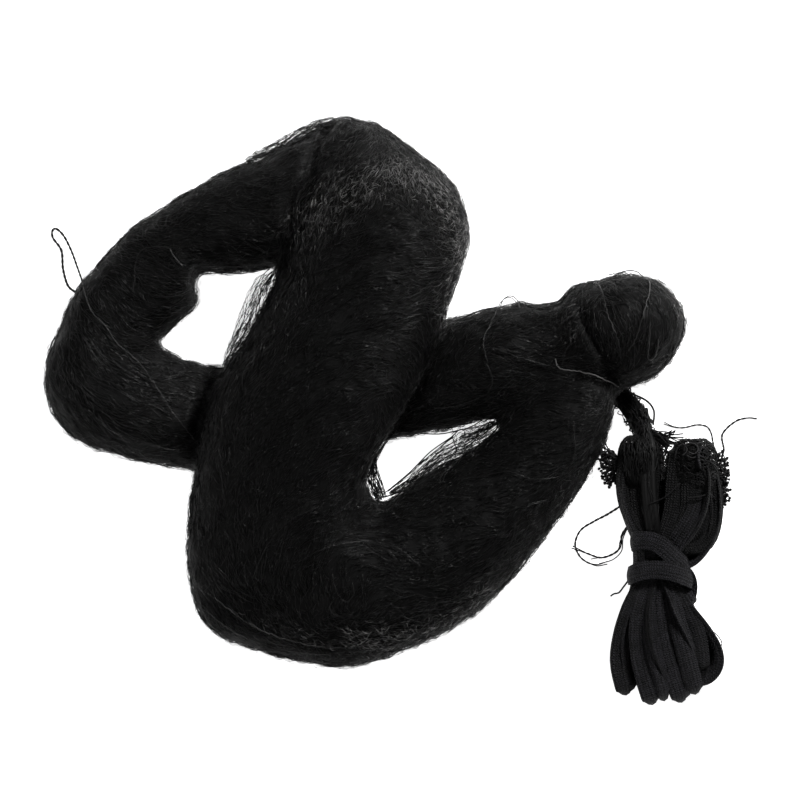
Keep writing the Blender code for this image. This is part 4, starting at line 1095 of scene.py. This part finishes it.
def fold_loop(bundle, fold, nest, draw):
    """One loop of tape in a fold: out over the top, round the end and back along the floor."""
    inset = NEST_GAP * nest
    line, share, round_end = fold_line(fold, inset)
    opened = np.clip((share - FOLD_CLOSED_TO) / (FOLD_OPEN_FROM - FOLD_CLOSED_TO), 0, 1)
    opened = opened**2 * (3 - 2 * opened)
    low, high = fold_heights(fold, inset, opened)
    middle, half = (low + high) / 2, (high - low) / 2 * round_end
    flat_side = leftward(np.gradient(line, axis=0))
    sway = draw.normal(0, 0.25) + 0.3 * np.sin(draw.uniform(0, 6) + share * draw.uniform(3, 7))
    aside = (nest - 0.5) * max(0.3, fold.width - NEST_SPREAD_FROM)
    line = line + flat_side[:, :2] * ((sway + aside) * share)[:, None]
    swell = 0.35 * np.sin(draw.uniform(0, 6) + share * draw.uniform(4, 9)) * opened * round_end
    top = np.column_stack([line, middle + half + swell])
    back = np.column_stack([line, middle - half])[::-1]
    path, sides = np.vstack([top, back[1:]]), np.vstack([flat_side, flat_side[::-1][1:]])
    chord = min(TAPE_WIDTH, fold.width - 0.8 * nest)
    widths = (FOLD_ROOT_WIDTH + (1 - FOLD_ROOT_WIDTH) * opened) * (1 - FOLD_NARROWS * (1 - round_end) ** 1.5)
    shapes, across = [], None
    for width in np.concatenate([widths, widths[::-1][1:]]):
        shape, across = tape_profile(chord * width, TAPE_WIDTH)
        shapes.append(shape)
    sweep_tape(bundle, path, sides, np.array(shapes), across, fold.tone + draw.uniform(0, 0.2))


def tape_run(bundle, width, rows, draw):
    """A tape by itself, banked as its rows say."""
    rows = evenly(smooth(rows, 6), 1.3)
    path, bank = rows[:, :3], np.radians(rows[:, 3:])
    _, left, over = ways_along(path)
    sides = left * np.cos(bank) + over * np.sin(bank)
    shape, across = tape_profile(width * 0.96, width)
    sweep_tape(bundle, path, sides, shape[None], across, draw.uniform(0.4, 0.8))


def tape_hank(look):
    draw = np.random.default_rng(TAPE_SEED)
    loops = Bundle()
    for fold in TAPE_FOLDS:
        for nest in range(NEST_LOOPS):
            fold_loop(loops, fold, nest, draw)
    piece = loops.piece("tape_loops", look, "tape_knit")
    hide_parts("tape_hank")
    runs = Bundle()
    for width, rows in TAPE_RUNS.values():
        tape_run(runs, width, rows, draw)
    runs.piece("tape_runs", look, "tape_knit")


def tie(look):
    """Two turns of tape round the waist, each a little wavy."""
    bands = Bundle()
    inset = TAPE_THICKNESS / 2 + TIE_CLEAR
    angle = TAU * np.arange(TIE_STATIONS) / TIE_STATIONS - math.pi / 2  # the join is underneath
    across, up = (np.sign(way) * np.abs(way) ** (2 / TIE_SQUARENESS) for way in (np.cos(angle), np.sin(angle)))
    shape, places = tape_profile(TAPE_WIDTH * 0.97, TAPE_WIDTH)
    for index, turn in enumerate(TIE_TURNS):
        shares, heights = smooth(turn.line, 6).T
        over_top = np.interp(across, shares, heights)
        underneath = np.interp(across, (-1, 1), (heights[0], heights[-1]))
        path = np.column_stack([
            turn.x + across * (turn.half_width - inset),
            np.where(up > 0, over_top, underneath) + TIE_WAVE * np.sin(3 * angle + index),
            turn.half_height + TIE_CLEAR + up * (turn.half_height - inset - TIE_CLEAR)
            + TIE_WAVE * np.sin(5 * angle + index),
        ])
        sweep_tape(bands, path, np.array([0, -1, 0]), shape[None], places, 0.7, closed=True)
    piece = bands.piece("tape_tie_bands", look, "tape_knit")
    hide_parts("tape_tie")


# --- making the gathered selvage ---


def neck(look):
    """The gathered edge of the net as wound strands, which go on over the hank to the tie."""
    draw = np.random.default_rng(NECK_SEED)
    rows = evenly(smooth(NECK_ROUTE, 6), NECK_SPACING)
    middle, width, height = rows[:, :3], rows[:, 3], rows[:, 4]
    ahead, left, over = ways_along(middle)
    share = np.linspace(0, 1, len(rows))
    bundle = Bundle()
    for aside in NECK_HEARTS_ASIDE:
        bundle.tube(middle + left * (aside * width)[:, None], NECK_HEART, 8, 0)
    for k in range(NECK_STRANDS):
        angle = TAU * (k + draw.uniform(-0.4, 0.4)) / NECK_STRANDS * 3
        angle = angle + TAU * NECK_TURNS * share * draw.choice([1, 1, -0.6])
        angle = angle + draw.uniform(0.2, 0.6) * np.sin(draw.uniform(0, 6) + share * draw.uniform(14, 30))
        depth = draw.uniform(0.55, 1) * np.ones(len(rows)) + 0.08 * np.sin(draw.uniform(0, 6) + share * 24)
        path = middle + left * (np.cos(angle) * width / 2 * depth)[:, None]
        path = path + over * (np.sin(angle) * height / 2 * depth)[:, None]
        keep_above(path, NECK_STRAND / 2)
        bundle.tube(path, NECK_STRAND * draw.uniform(0.6, 1.1), 5, draw.uniform(0, 0.6))
        for _ in range(3):
            bundle.knot(path[draw.integers(2, len(path) - 2)], 0.95, draw, 0.6)
    for _ in range(NECK_FRINGE):
        spot = draw.integers(1, int(len(rows) * NECK_FRINGE_TO))
        angle = draw.uniform(-0.3, math.pi + 0.3)
        out = left[spot] * math.cos(angle) * width[spot] / 2 + over[spot] * math.sin(angle) * height[spot] / 2
        root = middle[spot] + out * 0.9
        tip = root + unit(out) * draw.uniform(0.5, 1.5) + ahead[spot] * draw.uniform(0.4, 1.4)
        loop = smooth([root, tip, root + ahead[spot] * draw.uniform(1.4, 3)], 3)
        keep_above(loop, 0.4)
        bundle.tube(loop, 0.5, 4, draw.uniform(0.1, 0.5))
    piece = bundle.piece("selvage_gather", look, "selvage_twine")
    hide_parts("selvage_neck")


def lattice(bundle, spots, linked, diameter, draw, knot_size):
    """Twine between neighbouring spots, with a knot at each."""
    for a, b in linked:
        start, end = spots[a], spots[b]
        path = [start, (start + end) / 2 + draw.normal(0, 0.16, 3), end]
        bundle.tube(path, diameter * draw.uniform(0.85, 1.15), 5, draw.uniform(0.2, 0.8))
    for spot in spots.values():
        bundle.knot(spot, knot_size * draw.uniform(0.85, 1.15), draw, 0.5)


def below(spots, row, k):
    """The neighbours of a spot in the next row, where each row is half a spot aside from the last."""
    return [(row + 1, k + side) for side in ((0, 1) if row % 2 else (-1, 0)) if (row + 1, k + side) in spots]


def tuft_spots(shape, layer, draw):
    """The knots of one layer of a tuft."""
    spots = {}
    level = (layer + 0.5) / TUFT_LAYERS
    for row in range(shape.rows):
        reach = shape.first + (shape.last - shape.first) * TUFT_ROWS_REACH * row / (shape.rows - 1)
        z = shape.low + (shape.high - shape.low) * level * (1 - TUFT_SLOPE * row / shape.rows)
        for k in range(shape.around):
            turn = (k + 0.5 * (row % 2) + 0.33 * layer) / shape.around - 0.5
            heading = math.radians(shape.heading + shape.spread * turn)
            y = shape.y + reach * TUFT_OVAL * math.sin(heading)
            spots[row, k] = np.array([shape.x + reach * math.cos(heading), y, z]) + draw.normal(0, TUFT_JITTER, 3)
            keep_above(spots[row, k], TUFT_LOWEST)
    return spots


def tuft(name, shape, look):
    """Rows of twine loops that fan out from a root, and end in knotted stubs."""
    draw = np.random.default_rng(shape.seed)
    bundle = Bundle()
    for layer in range(TUFT_LAYERS):
        spots, linked = tuft_spots(shape, layer, draw), []
        for (row, k), spot in list(spots.items()):
            linked += [((row, k), other) for other in below(spots, row, k) if draw.random() < TUFT_LINKED]
            if row == shape.rows - 1 and draw.random() < TUFT_STUBS:
                away = spot - (shape.x, shape.y, spot[2])
                tip = spot + unit(away) * draw.uniform(0.7, 1.7) + draw.normal(0, 0.25, 3)
                keep_above(tip, TUFT_LOWEST)
                spots[row + 1, k] = tip
                linked.append(((row, k), (row + 1, k)))
        lattice(bundle, spots, linked, TWINE, draw, KNOT)
    piece = bundle.piece(name + "_twine", look, "selvage_twine")
    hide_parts(name)


def stretched_net(look):
    """The net between the neck and the tape on its right: crossing threads with gaps."""
    draw = np.random.default_rng(STRETCHED_SEED)
    spots = {}
    for row in range(STRETCHED_ROWS):
        left, right = STRETCHED_NET[0] + (STRETCHED_NET[1] - STRETCHED_NET[0]) * (row / (STRETCHED_ROWS - 1))
        for column in range(STRETCHED_COLUMNS):
            over = (column + 0.5 * (row % 2)) / STRETCHED_COLUMNS
            spots[row, column] = left + (right - left) * over + draw.normal(0, 0.25, 3)
    linked = [(spot, other) for spot in spots for other in below(spots, *spot)]
    bundle = Bundle()
    lattice(bundle, spots, linked, STRETCHED_TWINE, draw, STRETCHED_KNOT)
    for k in range(FAN_THREADS):
        start = FAN_START + FAN_STEP * k + (0, 0, draw.uniform(-1.5, 1.5))
        end = FAN_END + (draw.uniform(0, 8), -draw.uniform(0, 8.5), draw.uniform(-1.5, 1.5))
        middle = (start + end) / 2 + draw.normal(0, 0.5, 3)
        path = smooth([start, middle, end], 5)
        bundle.tube(path, STRETCHED_TWINE * draw.uniform(0.7, 1.2), 5, draw.uniform(0.1, 0.5))
    bundle.piece("selvage_stretched_net", look, "selvage_twine")


def gathered_mass(name, mass, look):
    """Gathered net over the top of the hank: threads that run down or wind over a rounded mass."""
    draw = np.random.default_rng(mass.seed)
    share = np.linspace(0, 1, MASS_POINTS)
    paths = []
    for _ in range(mass.threads):
        around = draw.uniform(0.02, 0.98) * math.pi
        start = draw.uniform(0, 0.75)
        down = start + share * draw.uniform(0.15, 0.4) * min(1, 1.2 / mass.winding)
        turn = around + mass.winding * draw.normal(0, 0.28) * share + 0.08 * np.sin(draw.uniform(0, 6) + 16 * down)
        turn = np.clip(turn, 0.02, math.pi - 0.02)
        girth = np.sin(np.clip(0.12 + 0.8 * down, 0.02, 0.98) * math.pi) * draw.uniform(0.86, 1)
        paths.append(np.column_stack([
            mass.middle[0] + mass.reach[0] * np.cos(turn) * girth,
            mass.middle[1] + mass.reach[1] * np.cos(np.clip(down, 0, 1.1) * math.pi),
            mass.middle[2] + mass.reach[2] * np.sin(turn) * girth,
        ]))
    paths = np.array(paths) + draw.normal(0, 0.12, (mass.threads, MASS_POINTS, 3))
    bundle = Bundle()
    y = mass.middle[1]
    top = mass.middle[2] + mass.reach[2] - MASS_HEART / 2 - 2.2
    for x, half in mass.hearts:
        bundle.tube(smooth([(x, y + half, top - 3), (x, y, top), (x, y - half, top - 4)], 8), MASS_HEART, 10, 0)
    radii = draw.uniform(0.2, 0.36, mass.threads)
    points, faces = spindles(paths, radii, MASS_SIDES, np.array([0.1, 0, 1]))
    shades = draw.uniform(0, mass.light, mass.threads)
    bundle.add(points, faces, np.repeat(shades, len(points) // mass.threads))
    bundle.piece(name, look, "selvage_twine")


# --- making the loose ends ---


def cord(name, shape, look):
    """A loose end of two plies that part near the end."""
    path = evenly(smooth(shape.route, 12), 0.8)
    keep_above(path, shape.diameter / 2 + 0.1)
    ahead = unit(np.gradient(path, axis=0))
    side = unit(np.cross(ahead, (0, 0, 1)))
    over = np.cross(side, ahead)
    reach = reach_along(path)
    frayed = 0 if shape.far_end == "object" else PLY_FRAY
    twisted = reach[-1] if shape.far_end == "object" else reach[-1] * PLY_TWISTED_TO
    apart = PLY_APART * shape.diameter + frayed * np.clip(reach - twisted, 0, None) / (reach[-1] - twisted + 1)
    bundle = Bundle()
    for ply in range(2):
        angle = TAU * np.minimum(reach, twisted) / PLY_PITCH + math.pi * ply
        line = path + (side * np.cos(angle)[:, None] + over * np.sin(angle)[:, None]) * apart[:, None]
        keep_above(line, shape.diameter * PLY_SHARE / 2 + 0.03)
        bundle.tube(line, shape.diameter * PLY_SHARE, 6, 0.15, taper=0.7)
    piece = bundle.piece("cord_" + name, look, "selvage_twine")
    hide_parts(name)


def short_ends(look):
    bundle = Bundle()
    for diameter, route in SHORT_ENDS:
        path = evenly(smooth(route, 8), 0.7)
        keep_above(path, diameter / 2 + 0.05)
        bundle.tube(path, diameter, 6, 0.8)
    bundle.piece("short_ends", look, "selvage_twine")


# --- stage ---


def stage_piece(name, points, faces):
    mesh = bpy.data.meshes.new(name)
    mesh.from_pydata(points, [], faces)
    look = Look(name, 0.9, 0.1)
    look.shader.inputs["Base Color"].default_value = (0.9, 0.9, 0.9, 1)
    look.shader.inputs["Emission Color"].default_value = (1, 1, 1, 1)
    look.shader.inputs["Emission Strength"].default_value = 1
    mesh.materials.append(look.material)
    piece = add_object(name, mesh)
    return piece


def stage():
    """A pale floor, and a round wall of the same white behind it, which gives no light of its own."""
    half = FLOOR_SIZE / 2 * MM
    stage_piece("floor", [(-half, -half, 0), (half, -half, 0), (half, half, 0), (-half, half, 0)], [(0, 1, 2, 3)])
    turns = TAU * np.arange(WALL_SIDES) / WALL_SIDES
    heights = (-WALL_HEIGHT / 10 * MM, WALL_HEIGHT * MM)
    points = [(half * math.cos(turn), half * math.sin(turn), z) for z in heights for turn in turns]
    faces = [(k, (k + 1) % WALL_SIDES, WALL_SIDES + (k + 1) % WALL_SIDES, WALL_SIDES + k) for k in range(WALL_SIDES)]
    wall = stage_piece("backdrop", points, faces)
    wall.visible_diffuse = wall.visible_glossy = wall.visible_shadow = False


# The lights: name, place and size in metres, and power.
LIGHTS = (("key_softbox", (0.8, 0.95, 0.95), 0.4, 26), ("fill_softbox", (-0.9, -0.5, 1.1), 0.7, 4))
WORLD_STRENGTH = 0.05


def area_light(name, place, size, power):
    data = bpy.data.lights.new(name, "AREA")
    data.shape = "DISK"
    data.size = size
    data.energy = power
    light = add_object(name, data)
    light.location = place
    light.rotation_mode = "QUATERNION"
    light.rotation_quaternion = (-Vector(place)).to_track_quat("-Z", "Y")


def lights():
    world = bpy.data.worlds.new("studio")
    world.use_nodes = True
    world.node_tree.nodes["Background"].inputs["Color"].default_value = (1, 1, 1, 1)
    world.node_tree.nodes["Background"].inputs["Strength"].default_value = WORLD_STRENGTH
    bpy.context.scene.world = world
    for light in LIGHTS:
        area_light(*light)
    bpy.context.scene.view_settings.view_transform = "Standard"


def camera():
    """The photo's view, straight down."""
    distance = PHOTO_SIDE_PX / PX_PER_MM * LENS / SENSOR
    data = bpy.data.cameras.new("camera")
    data.lens = LENS
    data.sensor_width = SENSOR
    data.clip_end = 20
    view = add_object("camera", data)
    x = (PHOTO_SIDE_PX / 2 - ORIGIN_PX_X) / PX_PER_MM
    y = (ORIGIN_PX_Y - PHOTO_SIDE_PX / 2) / PX_PER_MM
    view.location = (x * MM, y * MM, (VIEW_PLANE + distance) * MM)
    bpy.context.scene.camera = view


def main():
    camera()
    twine_look = thread_look("selvage_twine", *TWINE_LOOK)
    for name, shape in LOOSE_ENDS.items():
        cord(name, shape, twine_look)
    stage()
    lights()
    net_look = thread_look("net_nylon", *NET_LOOK)
    core = net_core()
    surface = Surface(core.data)
    flow = Flow(surface)
    mark(core.data, "flow", "vector", np.pad(flow.doubled(surface.places), ((0, 0), (0, 1))))
    core.data.materials.append(core_look())
    for name, layer in NET_LAYERS.items():
        net_layer(name, layer, surface, flow, net_look)
    net_veils(net_look)
    lying_threads(surface, net_look)
    knit_look = tape_look()
    tape_hank(knit_look)
    tie(knit_look)
    neck(twine_look)
    for name, shape in TUFTS.items():
        tuft(name, shape, twine_look)
    stretched_net(twine_look)
    for name, mass in MASSES.items():
        gathered_mass(name, mass, twine_look)
    short_ends(twine_look)


main()
